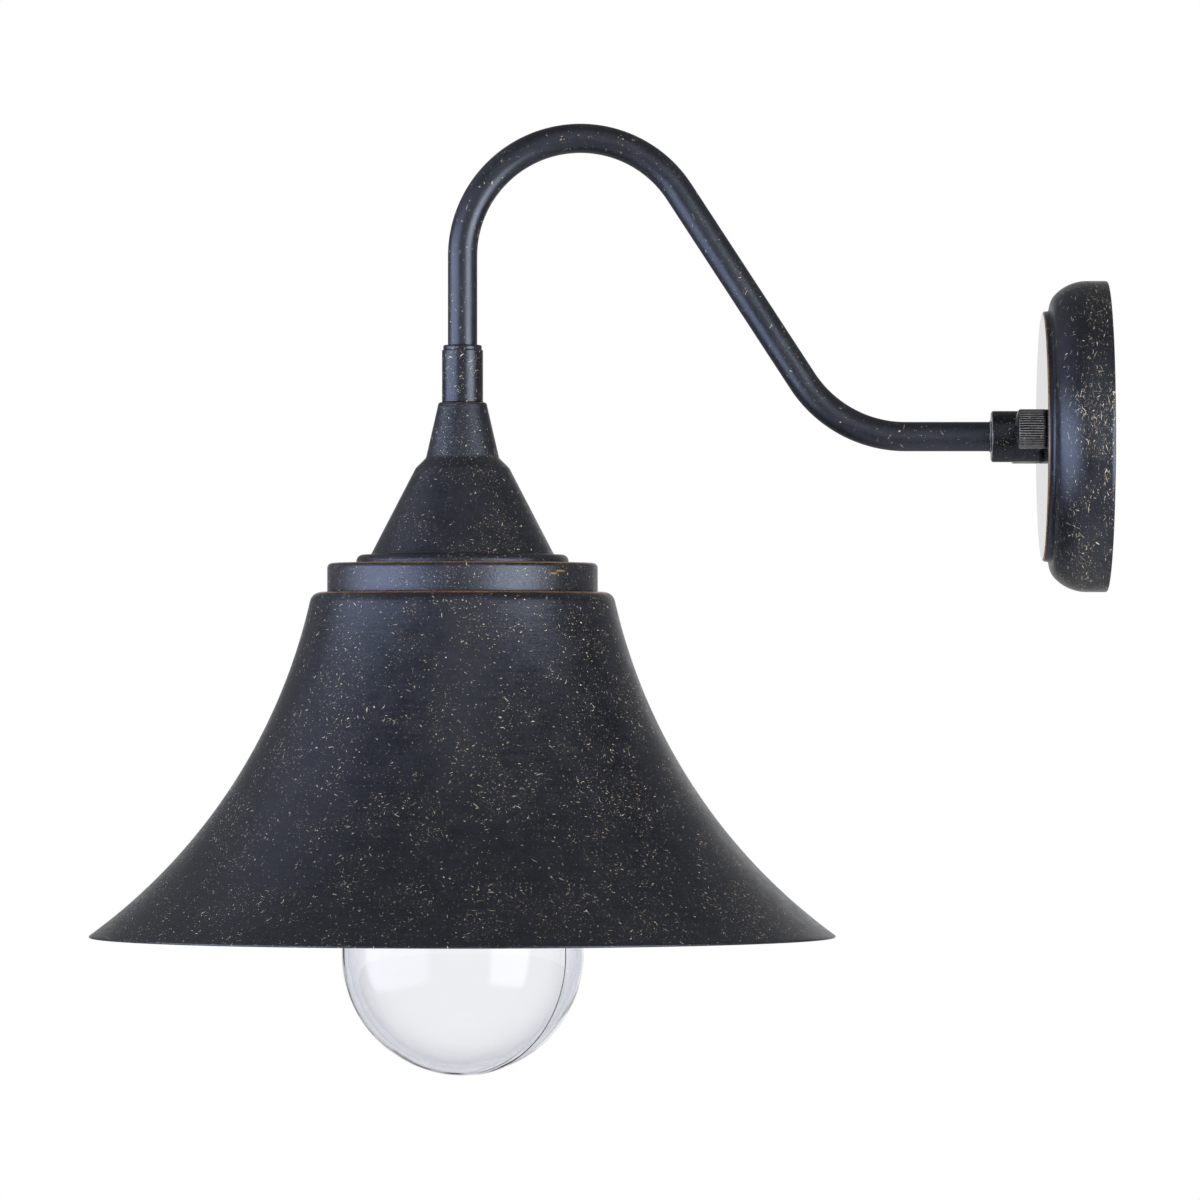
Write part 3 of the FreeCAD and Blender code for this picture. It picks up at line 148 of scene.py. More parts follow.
# %% A socket that takes part in expressions
class Wire:
    """An output socket. Python's operators on it add Math or Vector Math nodes."""

    def __init__(self, socket):
        self.socket = socket

    def node(self, kind, settings=(), inputs=(), output=0):
        """Adds a node of a type, applies its settings, fills its sockets, returns an output."""
        tree = self.socket.id_data
        made = tree.nodes.new(kind)
        for name, value in dict(settings).items():
            setattr(made, name, value)
        for name, value in dict(inputs).items():
            socket = made.inputs[name]
            if isinstance(value, Wire):
                tree.links.new(value.socket, socket)
            elif socket.type == "VECTOR" and not hasattr(value, "__len__"):
                socket.default_value = [value] * 3
            else:
                socket.default_value = value
        return Wire(made.outputs[output])

    def into(self, node, name):
        """Links this value into a socket of a node that the tree has already."""
        tree = self.socket.id_data
        tree.links.new(self.socket, tree.nodes[node].inputs[name])

    def _join(self, operation, first, second):
        wires = [wire for wire in (first, second) if isinstance(wire, Wire)]
        is_vector = any(wire.socket.type in ("VECTOR", "RGBA") for wire in wires)
        kind = "ShaderNodeVectorMath" if is_vector else "ShaderNodeMath"
        return self.node(kind, {"operation": operation}, {0: first, 1: second})

    def __add__(self, other):
        return self._join("ADD", self, other)

    def __radd__(self, other):
        return self._join("ADD", other, self)

    def __sub__(self, other):
        return self._join("SUBTRACT", self, other)

    def __rsub__(self, other):
        return self._join("SUBTRACT", other, self)

    def __mul__(self, other):
        return self._join("MULTIPLY", self, other)

    def __rmul__(self, other):
        return self._join("MULTIPLY", other, self)

    def __truediv__(self, other):
        return self._join("DIVIDE", self, other)

    def maximum(self, other):
        return self._join("MAXIMUM", self, other)

    def _vector(self, operation, *others, output=0):
        inputs = dict(enumerate((self, *others)))
        return self.node("ShaderNodeVectorMath", {"operation": operation}, inputs, output)

    def dot(self, other):
        return self._vector("DOT_PRODUCT", other, output="Value")

    def cross(self, other):
        return self._vector("CROSS_PRODUCT", other)

    def unit(self):
        return self._vector("NORMALIZE")

    def length(self):
        return self._vector("LENGTH", output="Value")

    def ease(self, low, high, start=0.0, end=1.0):
        """Goes smoothly from start to end as the value goes from low to high."""
        inputs = {"Value": self, "From Min": low, "From Max": high, "To Min": start, "To Max": end}
        return self.node("ShaderNodeMapRange", {"interpolation_type": "SMOOTHSTEP"}, inputs)

    def part(self, index):
        return self.node("ShaderNodeSeparateXYZ", (), {0: self}, index)

    def mix(self, first, second):
        """A colour between two colours, where this value says how far."""
        settings = {"data_type": "RGBA"}
        return self.node("ShaderNodeMix", settings, {0: self, 6: first, 7: second}, 2)

    def noise(self, scale, detail=2.0, roughness=0.5):
        inputs = {"Vector": self, "Scale": scale, "Detail": detail, "Roughness": roughness}
        return self.node("ShaderNodeTexNoise", (), inputs, 0)


print("expressions are ready")

# %% [markdown]
# ## A material's start and end
#
# Each finish starts from the piece's own Object coordinates in millimetres, so a scale in the
# shader is a size on the real light, and ends in one Principled BSDF. What is the same all over
# the surface is a plain number on its socket.


# %% Start and finish a material
def start_material(name):
    material = bpy.data.materials.new(name)
    material.use_nodes = True
    material.node_tree.nodes.clear()
    coordinates = material.node_tree.nodes.new("ShaderNodeTexCoord")
    return material, Wire(coordinates.outputs["Object"]) * (1 / MM)


def finish_material(material, place, height=None, bump_mm=0.02, **sockets):
    """Ends a material in a Principled BSDF. height is a relief in steps of bump_mm."""
    inputs = {name.replace("_", " "): value for name, value in sockets.items()}
    if height is not None:
        settings = {"Height": height, "Distance": bump_mm * MM, "Strength": 1.0}
        inputs["Normal"] = place.node("ShaderNodeBump", (), settings)
    surface = place.node("ShaderNodeBsdfPrincipled", (), inputs)
    material.node_tree.nodes.new("ShaderNodeOutputMaterial")
    surface.into("Material Output", "Surface")
    return material


# %% [markdown]
# ## Dark bronze with gold flecks
#
# The paint is a satin near-black bronze. Before it dried, a gold glaze was flicked on it with a
# stiff brush, which left thousands of flecks in loose clouds: dots of 0.3 mm, dashes up to 2 mm
# and a few longer, bent hairs. An image could show them, but it would need a flat layout of every
# piece. Here a Voronoi texture scatters one fleck per cell. The cell's random colour gives its
# length and its direction, which the surface's normal lays flat. A second random colour decides
# whether it shows, how bright it is and how bent.


# %% One layer of flecks
def flecks(place, facing, lean, cell, length, width, shift):
    """How much of a fleck shows at each point, and three more random numbers of its cell.

    In the plane of the surface, a point's offset from the cell's centre is split along and
    across the fleck. The point is inside where (along / reach)^2 + (across / width)^2 is under
    one. The reach varies with the cell, and a bend moves the middle line by bend * along^2."""
    moved = place + shift
    colour = place.node("ShaderNodeTexVoronoi", (), {"Vector": moved, "Scale": 1 / cell}, "Color")
    centre = Wire(colour.socket.node.outputs["Position"])
    chance = centre.node("ShaderNodeTexWhiteNoise", (), {"Vector": centre}, "Color")
    side = facing.cross((colour - (0.5, 0.5, 0.5)) * lean).unit()
    needle = side.cross(facing)
    offset = moved - centre
    along = offset.dot(needle)
    stretch = colour.part(2)
    reach = stretch * stretch * length + width
    bend = (chance.part(1) - 0.5) * (0.9 / length)
    across = offset.dot(side) - along * along * bend
    inside = along * along / (reach * reach) + across * across * (1 / width**2)
    return inside.ease(1.0, 0.45), chance


print("flecks are ready")

# %% [markdown]
# ## The bronze finish
#
# Four layers of flecks lie over the paint, which is mottled and has a fine orange peel and, on
# spun pieces, faint turning lines. It is worn through to copper where an attribute of the mesh
# says so. Each piece gets its own mix, because the light was finished piece by piece: the flecks
# are long and upright on the plate, small on the cover and rare on the tube.

# %% Bronze
BRONZE_DARK = (0.0036, 0.0040, 0.0052, 1)
BRONZE_LIGHT = (0.0155, 0.0162, 0.0198, 1)
BRONZE_WARM = (0.0180, 0.0160, 0.0145, 1)
FLECK_DULL = (0.42, 0.35, 0.24, 1)
FLECK_GOLD = (0.98, 0.84, 0.60, 1)
COPPER = (0.50, 0.25, 0.105, 1)
# Light grey of worn paint on knobs and wall collar, which also paints their highlights
WORN_AND_HIGHLIGHT_GREY = (0.50, 0.48, 0.44, 1)
PAINT_SHEEN = (0.72, 0.80, 1.0, 1)
FLECK_LAYERS = (
    # cell size, half length, half width in millimetres, brightness, share of cells, shift
    (2.4, 0.60, 0.14, 1.00, 0.40, (0, 0, 0)),
    (1.3, 0.30, 0.11, 0.55, 0.50, (37, 11, 5)),
    (3.8, 1.40, 0.13, 1.00, 0.34, (5, 71, 23)),
    (5.6, 0.42, 0.27, 1.00, 0.36, (91, 3, 47)),
)


def bronze(name, density=1.0, fleck=1.0, stroke=1.0, lean=(1, 1, 1), rings=0.0, peel_mm=0.08,
           rough=(0.30, 0.39), ior=1.67, bared=None, front=None):
    """Satin near-black bronze. density sets how many flecks show, fleck scales them, stroke makes
    them longer and lean squeezes their directions. rings adds the faint turning lines of spun
    metal, peel_mm is the depth of the orange peel, bared is the colour where the rub attribute is
    high (worn edges, and on the knobs and wall collar also painted highlights), and front is how
    far the plate's smoother face, with few flecks, stands from the wall."""
    material, place = start_material(name)
    facing = place.node("ShaderNodeTexCoord", (), (), "Normal")
    cloud = place.noise(1 / 20, 4.0, 0.65)
    streak = (place * (0.04, 0.04, 1.0)).noise(1.1, 3.0)
    mottle = place.noise(1 / 9, 4.0, 0.65)
    grain = place.noise(1.0, 4.0, 0.7)
    shade_of = mottle * 0.3 + grain * 0.7 + (streak - 0.5) * (0.25 * rings)
    base = shade_of.ease(0.36, 0.66).mix(BRONZE_DARK, BRONZE_LIGHT)
    crowd = cloud.ease(0.38, 0.62, 0.15, 1.0)
    if front:
        crowd = crowd * place.part(1).ease(-front, -front * 0.35, 0.12, 1.0)
    base = (crowd * 0.25).mix(base, BRONZE_WARM)
    shown = warmth = None
    for cell, length, width, glow, share, shift in FLECK_LAYERS:
        sizes = (cell * fleck, length * fleck * stroke, width * fleck)
        mask, chance = flecks(place, facing, lean, *sizes, shift)
        gate = (chance.part(0) + crowd * (share * density)).ease(0.99, 1.01)
        layer = mask * gate * (chance.part(2) * (glow * 0.7) + glow * 0.3)
        shown = shown.maximum(layer) if shown else layer
        warmth = warmth or chance.part(1)
    colour = shown.mix(base, warmth.mix(FLECK_DULL, FLECK_GOLD))
    blur = mottle.ease(0.2, 0.8, *rough) + shown * 0.2
    blur = blur + (streak - 0.5) * (0.1 * rings) + (grain - 0.5) * 0.16
    metallic = 0.0
    peel = grain + streak * (0.5 * rings) - shown * 0.1
    if front:
        off_face = place.part(1).ease(-front, -front + 0.15)
        blur = blur * (off_face * 0.85 + 0.15)
        peel = peel * off_face
    if bared:
        worn = place.node("ShaderNodeAttribute", {"attribute_name": "rub"}, (), "Fac")
        patch = place.noise(1 / 7, 4.0, 0.7)
        hair = (place * (0.25, 0.25, 2.2)).noise(0.8, 3.0, 0.6)
        bare = worn * (patch.ease(0.36, 0.62) * 0.4 + hair.ease(0.4, 0.62) * 0.3 + 0.5)
        bare = bare.ease(0.15, 0.80)
        colour = bare.mix(colour, bared)
        blur = blur - bare * 0.06
        metallic = bare * 0.5
    return finish_material(material, place, peel, peel_mm, Base_Color=colour, Roughness=blur,
                           Metallic=metallic, IOR=ior, Specular_Tint=PAINT_SHEEN)


PLATE_FACE = span_on_wall("backplate")[2]
PLATE_BRONZE = bronze("plate_bronze", density=1.5, fleck=0.8, stroke=3.4, lean=(1, 0.28, 1),
                      ior=1.6, bared=COPPER, front=PLATE_FACE)
SHADE_BRONZE = bronze("shade_bronze", stroke=1.2, lean=(1, 1, 0.4), rings=1.0, bared=COPPER)
COVER_BRONZE = bronze("cover_bronze", density=1.3, fleck=0.85, lean=(1, 1, 0.7), rings=0.8,
                      peel_mm=0.18, bared=COPPER)
TUBE_BRONZE = bronze("tube_bronze", density=0.35, fleck=0.9, stroke=1.5)
FITTING_BRONZE = bronze("fitting_bronze", density=0.9, fleck=0.8, stroke=3.0, rough=(0.24, 0.32),
                        ior=1.56, bared=COPPER)
KNOB_BRONZE = bronze("knob_bronze", density=0.5, fleck=0.6, stroke=2.0, peel_mm=0.03,
                     rough=(0.15, 0.21), ior=1.45, bared=WORN_AND_HIGHLIGHT_GREY)
CAST_BRONZE = bronze("cast_bronze", density=0.4)
print("bronze finishes are ready")

# %% [markdown]
# ## The other finishes
#
# What the weather and the wall hide is plainer: zinc-plated steel, brass, copper, rubber, foam,
# glazed porcelain and moulded plastic. One helper serves them all: two noises mix two colours and
# the roughness, and the finer one is the relief.


# %% Plain finishes
def plain(name, dark, light, rough, grain=1.0, bump_mm=0.01, stretch=(1, 1, 1), **sockets):
    """Two colours mixed by a noise of the grain's size in millimetres, with the same relief."""
    material, place = start_material(name)
    fine = (place * stretch).noise(1 / grain, 3.0, 0.6)
    broad = place.noise(1 / (grain * 9), 3.0, 0.6)
    mixed = (fine * 0.5 + broad * 0.5).ease(0.36, 0.64)
    colour = mixed.mix((*dark, 1), (*light, 1))
    blur = broad.ease(0.3, 0.7, *rough) + fine * 0.04
    return finish_material(material, place, fine * 2, bump_mm, Base_Color=colour, Roughness=blur,
                           **sockets)


ZINC = plain("zinc", (0.30, 0.315, 0.33), (0.45, 0.46, 0.46), (0.60, 0.76), 2.2, 0.004,
             Metallic=1.0)
BLACK_OXIDE = plain("black_oxide", (0.02, 0.02, 0.022), (0.045, 0.045, 0.05), (0.35, 0.5), 0.8)
GREEN_ZINC = plain("green_zinc", (0.02, 0.20, 0.07), (0.05, 0.33, 0.12), (0.3, 0.45), 1.4)
BRASS = plain("brass", (0.60, 0.40, 0.16), (0.80, 0.60, 0.29), (0.22, 0.38), 2.6, 0.004,
              Metallic=1.0)
BARE_COPPER = plain("bare_copper", (0.55, 0.24, 0.13), (0.78, 0.42, 0.27), (0.25, 0.4), 1.6, 0.003,
                    Metallic=1.0)
RUBBER = plain("rubber", (0.012, 0.012, 0.012), (0.03, 0.03, 0.03), (0.6, 0.75), 0.5, 0.02)
FOAM = plain("foam", (0.018, 0.018, 0.018), (0.06, 0.06, 0.06), (0.85, 0.95), 0.45, 0.12)
PORCELAIN = plain("porcelain", (0.74, 0.71, 0.64), (0.83, 0.81, 0.75), (0.10, 0.18), 1.8, 0.012,
                  IOR=1.52)
BLACK_PLASTIC = plain("black_insulation", (0.010, 0.010, 0.011), (0.025, 0.025, 0.027),
                      (0.3, 0.42), 0.8)
WHITE_PLASTIC = plain("white_insulation", (0.66, 0.66, 0.62), (0.78, 0.78, 0.75), (0.3, 0.42), 0.8)
ORANGE_PLASTIC = plain("orange_plastic", (0.66, 0.15, 0.015), (0.80, 0.22, 0.03), (0.28, 0.4), 0.9)
print("plain finishes are ready")

# %% [markdown]
# ## Clear glass
#
# The jar is blown into a mould, so its wall is a real 2.6 mm and slightly uneven. Glass shows by
# what it bends: the wall has both its faces, and a volume that takes a little red and green on the
# way gives the grey-blue edges, where the eye looks along the wall. On top of that, painted shade
# from Layer Weight darkens the colour towards the outline, where the surface turns edge-on. A
# faint, broad relief makes the highlights waver, and a few smears are rougher, as on glass that
# has been handled.


# %% Glass
GLASS_CLEAR = (0.963, 0.962, 0.974, 1)
# Painted shade colours for the glass: grey-blue near the outline, dark grey at it
GLASS_EDGE_SHADE = (0.71, 0.735, 0.81, 1)
GLASS_OUTLINE_SHADE = (0.26, 0.29, 0.38, 1)
GLASS_DEPTH = (0.66, 0.72, 0.84, 1)
GLASS_DENSITY = 22
RIPPLE_MM = 0.2


def glass(name):
    """Clear in the middle, and painted shade towards the outline as the surface turns edge-on."""
    material, place = start_material(name)
    ripple = (place * (1.0, 1.0, 0.45)).noise(1 / 16, 2.0, 0.45)
    smear = (place * (1.0, 1.0, 0.25)).noise(1 / 9, 2.0, 0.55)
    # Layer Weight paints shade on the glass: its colour darkens as the surface turns edge-on.
    edge = place.node("ShaderNodeLayerWeight", (), {"Blend": 0.5}, "Facing")
    edge = edge + (smear - 0.5) * 0.10
    edge_shaded = edge.ease(0.30, 0.85).mix(GLASS_CLEAR, GLASS_EDGE_SHADE)
    colour = edge.ease(0.84, 0.99).mix(edge_shaded, GLASS_OUTLINE_SHADE)
    blur = smear.ease(0.55, 0.85, 0.0, 0.025)
    finish_material(material, place, ripple, RIPPLE_MM, Base_Color=colour, Roughness=blur, IOR=1.5,
                    Specular_Tint=(0.4, 0.4, 0.42, 1), Transmission_Weight=1.0)
    depth = {"Color": GLASS_DEPTH, "Density": GLASS_DENSITY}
    place.node("ShaderNodeVolumeAbsorption", (), depth).into("Material Output", "Volume")
    return material


CLEAR_GLASS = glass("clear_glass")
print("glass is ready")

# %% [markdown]
# ## Outlines
#
# Nearly every piece of the head and the plate was spun or turned, so its surface is an outline
# carried round an axis: the outline is one parameter of a grid and the angle is the other.
# Outlines are drawn with corners, each with its own rounding, because real edges always catch a
# line of light.


# %% Outlines with rounded corners
def rounded(*corners, step=2.0, closed=True):
    """Points along straight runs between (radius, height, rounding) corners.

    At a corner of half angle a, a rounding R starts R / tan(a) before the corner and turns about
    a centre that lies R / sin(a) from it, on the line that halves the corner."""
    places = np.array([corner[:2] for corner in corners], float)
    points = []
    for index, corner in enumerate(corners):
        here = places[index]
        size = corner[2] if len(corner) > 2 else 0
        if size == 0:
            points.append(here[None])
            continue
        back = places[index - 1] - here
        ahead = places[(index + 1) % len(corners)] - here
        back, ahead = back / np.linalg.norm(back), ahead / np.linalg.norm(ahead)
        half = math.acos(np.clip(back @ ahead, -1, 1)) / 2
        centre = here + (back + ahead) / np.linalg.norm(back + ahead) * size / math.sin(half)
        first = here + back * size / math.tan(half) - centre
        last = here + ahead * size / math.tan(half) - centre
        turn = math.pi - 2 * half
        share = np.linspace(0, 1, max(5, int(turn * 10)))[:, None]
        sweep = (np.sin((1 - share) * turn) * first + np.sin(share * turn) * last) / math.sin(turn)
        points.append(centre + sweep)
    points = np.concatenate(points)
    if closed:
        points = np.concatenate([points, points[:1]])
    return spread(points, step)


def spread(points, step):
    """Adds even points to long straight runs, so that a relief or a worn spot has room."""
    points = np.asarray(points, float)
    dense = [points[:1]]
    for start, end in zip(points[:-1], points[1:]):
        count = max(1, int(np.linalg.norm(end - start) / step))
        share = np.linspace(0, 1, count + 1)[1:, None]
        dense.append(start + (end - start) * share)
    return np.concatenate(dense)


def arc(centre, radius, start, end, count=24):
    """Points on a circle from one angle to another, in degrees."""
    angle = np.radians(np.linspace(start, end, count))
    return np.array(centre) + radius * np.stack([np.cos(angle), np.sin(angle)], axis=1)


print("a square corner with a rounding of 2:", len(rounded((0, 0), (5, 0, 2), (5, 5))), "points")

# %% [markdown]
# ## From a grid to a piece
#
# Each grid of points becomes a mesh in the same way: neighbours are joined by four-sided faces,
# points that meet at a pole or a seam are merged, and the faces are turned outwards. A number at
# each point, called rub, says how worn the paint is there; on the knobs and the wall collar it
# also marks painted highlights. The piece then rides on the body of the node that it stands for.


# %% Grid, mesh and piece
def stand_on_head(x, y, z):
    """Pieces of the head turn about the upright axis of the shade."""
    return np.stack([x, y + HEAD_Y, z], axis=-1)


def stand_on_wall(x, y, z):
    """Pieces on the plate turn about the axis that points out from the wall, which is -Y."""
    return np.stack([x, -z, y], axis=-1)


def make_mesh(name, grid, wrap_rows=False, wrap_columns=True, rub=None):
    """Joins a grid of points, rows by columns, into four-sided faces."""
    rows, columns = grid.shape[:2]
    row = np.arange(rows if wrap_rows else rows - 1)[:, None]
    column = np.arange(columns if wrap_columns else columns - 1)[None]
    next_row, next_column = (row + 1) % rows, (column + 1) % columns
    corners = (
        row * columns + column,
        row * columns + next_column,
        next_row * columns + next_column,
        next_row * columns + column,
    )
    faces = np.stack(np.broadcast_arrays(*corners), axis=-1).reshape(-1, 4)
    mesh = bpy.data.meshes.new(name)
    mesh.from_pydata((grid.reshape(-1, 3) * MM).tolist(), [], faces.tolist())
    if rub is not None:
        layer = mesh.attributes.new("rub", "FLOAT", "POINT")
        layer.data.foreach_set("value", rub.ravel().astype(np.float32))
    close_mesh(mesh)
    return mesh


def close_mesh(mesh):
    """Merges points that meet at a seam or a pole, turns faces outwards and smooths them."""
    edit = bmesh.new()
    edit.from_mesh(mesh)
    bmesh.ops.remove_doubles(edit, verts=edit.verts, dist=1e-6)
    bmesh.ops.dissolve_degenerate(edit, edges=edit.edges, dist=1e-7)
    bmesh.ops.recalc_face_normals(edit, faces=edit.faces)
    edit.to_mesh(mesh)
    edit.free()
    mesh.polygons.foreach_set("use_smooth", np.ones(len(mesh.polygons), bool))


def show(name, mesh, material, slot, *nodes):
    """Puts a mesh in the scene as a piece that stands for some of the frame's nodes."""
    piece = add_object(name, mesh)
    mesh.materials.append(material)
    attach(piece, frame["nodes"][nodes[0]]["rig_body"])
    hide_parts(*nodes)
    print(f"{name}: {len(mesh.polygons)} faces")
    return piece


def worn(points, spots):
    """1 where paint is worn or a highlight is painted, 0 away: a bell curve round each spot."""
    rub = np.zeros(len(points))
    for radius, height, width, strength in spots:
        gap = np.hypot(points[:, 0] - radius, points[:, 1] - height)
        rub = np.maximum(rub, strength * np.exp(-((gap / width) ** 2)))
    return rub


def round_turn(steps):
    """Even angles round a full turn: 2 pi * index / steps."""
    return np.linspace(0, 2 * np.pi, steps, endpoint=False)


def turned(name, points, stand=stand_on_head, steps=160, spots=(), shape=None, angles=None):
    """Carries an outline round its axis: x = r cos a, y = r sin a, z = height.

    shape, if given, gives a new radius and height, and each point's wear or painted highlight."""
    angle = (round_turn(steps) if angles is None else angles)[None]
    radius = np.repeat(points[:, :1], angle.size, axis=1)
    height = np.repeat(points[:, 1:], angle.size, axis=1)
    rub = np.repeat(worn(points, spots)[:, None], angle.size, axis=1)
    if shape is not None:
        radius, height, more = shape(radius, height, angle)
        rub = np.maximum(rub, more)
    grid = stand(radius * np.cos(angle), radius * np.sin(angle), height)
    return make_mesh(name, grid, rub=rub)


def show_turned(name, node, points, material, slot="bronze", **options):
    """Turns an outline and puts it in the scene as the piece that stands for a node."""
    return show(name, turned(name, points, **options), material, slot, node)


print("turned pieces of the head stand at y =", round(HEAD_Y, 1), "mm")

# %% [markdown]
# ## The bell shade
#
# The shade was spun from one sheet of steel over a former: a flat top, a tight shoulder and one
# long flare that is an arc of a circle. A spun sheet has the same thickness all over, so the
# inside is the same outline, moved in. The rim is a plain cut edge, rounded a little. Copper
# shows along the shoulder, just outside the band.

# %% Shade
RIM_R, RIM_Z, SHADE_TOP = span_on_head("shade")
CAP_R, _, CAP_TOP = span_on_head("shade_cap")
SHADE_TOP_R = 61.45
SHOULDER_R = 5.0
FLARE_R = 231.2
SHEET = 1.0
STEM_R = 4.95
FINE_STEPS = 320


def flare_centre():
    """The centre of the circle through the shoulder's foot and the rim, on the outer side."""
    run, fall = RIM_R - SHADE_TOP_R, SHADE_TOP - RIM_Z
    chord = math.hypot(run, fall)
    stand = math.sqrt(FLARE_R**2 - (chord / 2) ** 2)
    middle_r, middle_z = (SHADE_TOP_R + RIM_R) / 2, (SHADE_TOP + RIM_Z) / 2
    return middle_r + stand * fall / chord, middle_z + stand * run / chord


def shade_outline():
    """The flare is an arc about a centre outside the shade, the shoulder touches it, and half a
    circle as wide as the sheet rounds the rim."""
    flare = flare_centre()
    bend_z = SHADE_TOP - SHOULDER_R
    reach = FLARE_R + SHOULDER_R
    bend_r = flare[0] - math.sqrt(reach**2 - (bend_z - flare[1]) ** 2)
    join = math.degrees(math.atan2(bend_z - flare[1], bend_r - flare[0])) % 360
    rim = math.degrees(math.atan2(RIM_Z - flare[1], RIM_R - flare[0])) % 360
    way = math.copysign(1, rim - join)
    last = rim - way * math.degrees(SHEET / 2 / FLARE_R)
    edge = arc(flare, FLARE_R + SHEET / 2, last, last, 1)[0]
    runs = [
        spread([[STEM_R, SHADE_TOP], [bend_r, SHADE_TOP]], 1.0),
        arc((bend_r, bend_z), SHOULDER_R, 90, join - 180, 14)[1:],
        arc(flare, FLARE_R, join, last, 90)[1:],
        arc(edge, SHEET / 2, last + 180 * way, last, 9)[1:-1],
        arc(flare, FLARE_R + SHEET, last, join, 90),
        arc((bend_r, bend_z), SHOULDER_R - SHEET, join - 180, 90, 12)[1:],
        [[STEM_R, SHADE_TOP - SHEET], [STEM_R, SHADE_TOP]],
    ]
    return np.concatenate(runs)


shade_rubs = ((CAP_R + 3.8, SHADE_TOP - 0.3, 1.2, 1.0),)
show_turned("shade_spun", "shade", shade_outline(), SHADE_BRONZE, steps=FINE_STEPS,
            spots=shade_rubs)

# %% [markdown]
# ## The band and the socket cover
#
# A shallow drum covers the nuts on top of the shade, and a spun cover stands on it: a rolled foot,
# a hollow cone, a rounded step and a long neck. Both are thin shells with an inside, because the
# part may be taken apart. The band's upper edge is a full rounding with a line of worn copper.

# %% Band
CAP_WALL = 1.2
CAP_EDGE = 2.1
SCUFFS = (
    # degrees round the band, height over the shade, half length and half height in millimetres
    (47.0, 8.1, 3.0, 0.45),
    (42.0, 7.1, 3.2, 0.40),
    (203, 7.4, 2.8, 0.4),
)

band_outline = rounded(
    (STEM_R, CAP_TOP),
    (STEM_R, CAP_TOP - CAP_WALL),
    (CAP_R - CAP_WALL, CAP_TOP - CAP_WALL, CAP_EDGE - CAP_WALL),
    (CAP_R - CAP_WALL, SHADE_TOP),
    (CAP_R, SHADE_TOP, 0.25),
    (CAP_R, CAP_TOP, CAP_EDGE),
    step=0.45,
)
band_rubs = ((CAP_R - 1.3, CAP_TOP - 0.15, 0.7, 1.0),)


def scuffed(radius, height, angle):
    """Rub = a bell curve round each scuff, long round the band and narrow in height."""
    rub = np.zeros_like(radius)
    for turn, rise, length, width in SCUFFS:
        round_it = (angle - math.radians(turn)) * CAP_R / length
        rub = np.maximum(rub, np.exp(-(round_it**2) - ((height - SHADE_TOP - rise) / width) ** 2))
    return radius, height, rub * (radius > CAP_R - 0.3)


show_turned("shade_band", "shade_cap", band_outline, COVER_BRONZE, steps=FINE_STEPS,
            spots=band_rubs, shape=scuffed)

# %% Socket cover
FLANGE_R, _, COVER_TOP = span_on_head("socket_cover")
NECK_TOP_R, NECK_FOOT_R, NECK_HEIGHT = 9.75, 14.95, 22.7
STEP_FOOT_R, STEP_HEIGHT = 19.15, 4.2
CONE_FOOT_R, CONE_HEIGHT = 37.4, 35.3
COVER_WALL = 1.4
STEP_TOP = COVER_TOP - NECK_HEIGHT
STEP_FOOT = STEP_TOP - STEP_HEIGHT
CONE_FOOT = STEP_FOOT - CONE_HEIGHT

cover_outline = rounded(
    (STEM_R, COVER_TOP),
    (STEM_R, COVER_TOP - COVER_WALL),
    (NECK_TOP_R - COVER_WALL, COVER_TOP - COVER_WALL),
    (NECK_FOOT_R - COVER_WALL, STEP_TOP, 3.4),
    (STEP_FOOT_R - COVER_WALL, STEP_FOOT, 1.0),
    (CONE_FOOT_R - COVER_WALL, CONE_FOOT),
    (CONE_FOOT_R - COVER_WALL, CAP_TOP),
    (FLANGE_R, CAP_TOP, 0.2),
    (FLANGE_R, CONE_FOOT, 2.7),
    (CONE_FOOT_R, CONE_FOOT, 0.9),
    (STEP_FOOT_R, STEP_FOOT, 2.4),
    (NECK_FOOT_R, STEP_TOP, 2.0),
    (NECK_TOP_R, COVER_TOP, 1.2),
)
cover_rubs = ((NECK_TOP_R - 0.2, COVER_TOP - 0.2, 0.4, 0.4),)
show_turned("cover_spun", "socket_cover", cover_outline, COVER_BRONZE, steps=192,
            spots=cover_rubs)

# %% [markdown]
# ## Collar and lock ring of the head
#
# Two turned pieces hold the cover to the arm: a long collar with softened edges and, above it, a
# ring with a rounded shoulder that locks the tube. The dark line between them is a real groove
# that the two roundings leave.

# %% Head collar and lock ring
COLLAR_R, COLLAR_FOOT, COLLAR_TOP = span_on_head("head_collar")
RING_R, _, HEAD_TOP = span_on_head("head_lock_ring")
TUBE_R = 6.0
TUBE_FIT_R = TUBE_R + 0.05
HEAD_SOCKET = 12.0

collar_outline = rounded(
    (STEM_R, COLLAR_FOOT),
    (COLLAR_R, COLLAR_FOOT, 0.35),
    (COLLAR_R, COLLAR_TOP, 0.45),
    (TUBE_FIT_R, COLLAR_TOP),
    (TUBE_FIT_R, COLLAR_TOP - HEAD_SOCKET),
    (STEM_R, COLLAR_TOP - HEAD_SOCKET),
    step=1.0,
)
collar_rubs = ((COLLAR_R, COLLAR_TOP, 0.4, 0.4),)
show_turned("head_collar_turned", "head_collar", collar_outline, FITTING_BRONZE, steps=96,
            spots=collar_rubs)

ring_outline = rounded(
    (TUBE_FIT_R, COLLAR_TOP),
    (RING_R, COLLAR_TOP, 0.3),
    (RING_R, HEAD_TOP, 0.8),
    (TUBE_FIT_R, HEAD_TOP, 0.2),
    step=0.6,
)
ring_rubs = ((RING_R, HEAD_TOP, 0.4, 0.3),)
show_turned("head_ring_turned", "head_lock_ring", ring_outline, FITTING_BRONZE, steps=96,
            spots=ring_rubs)

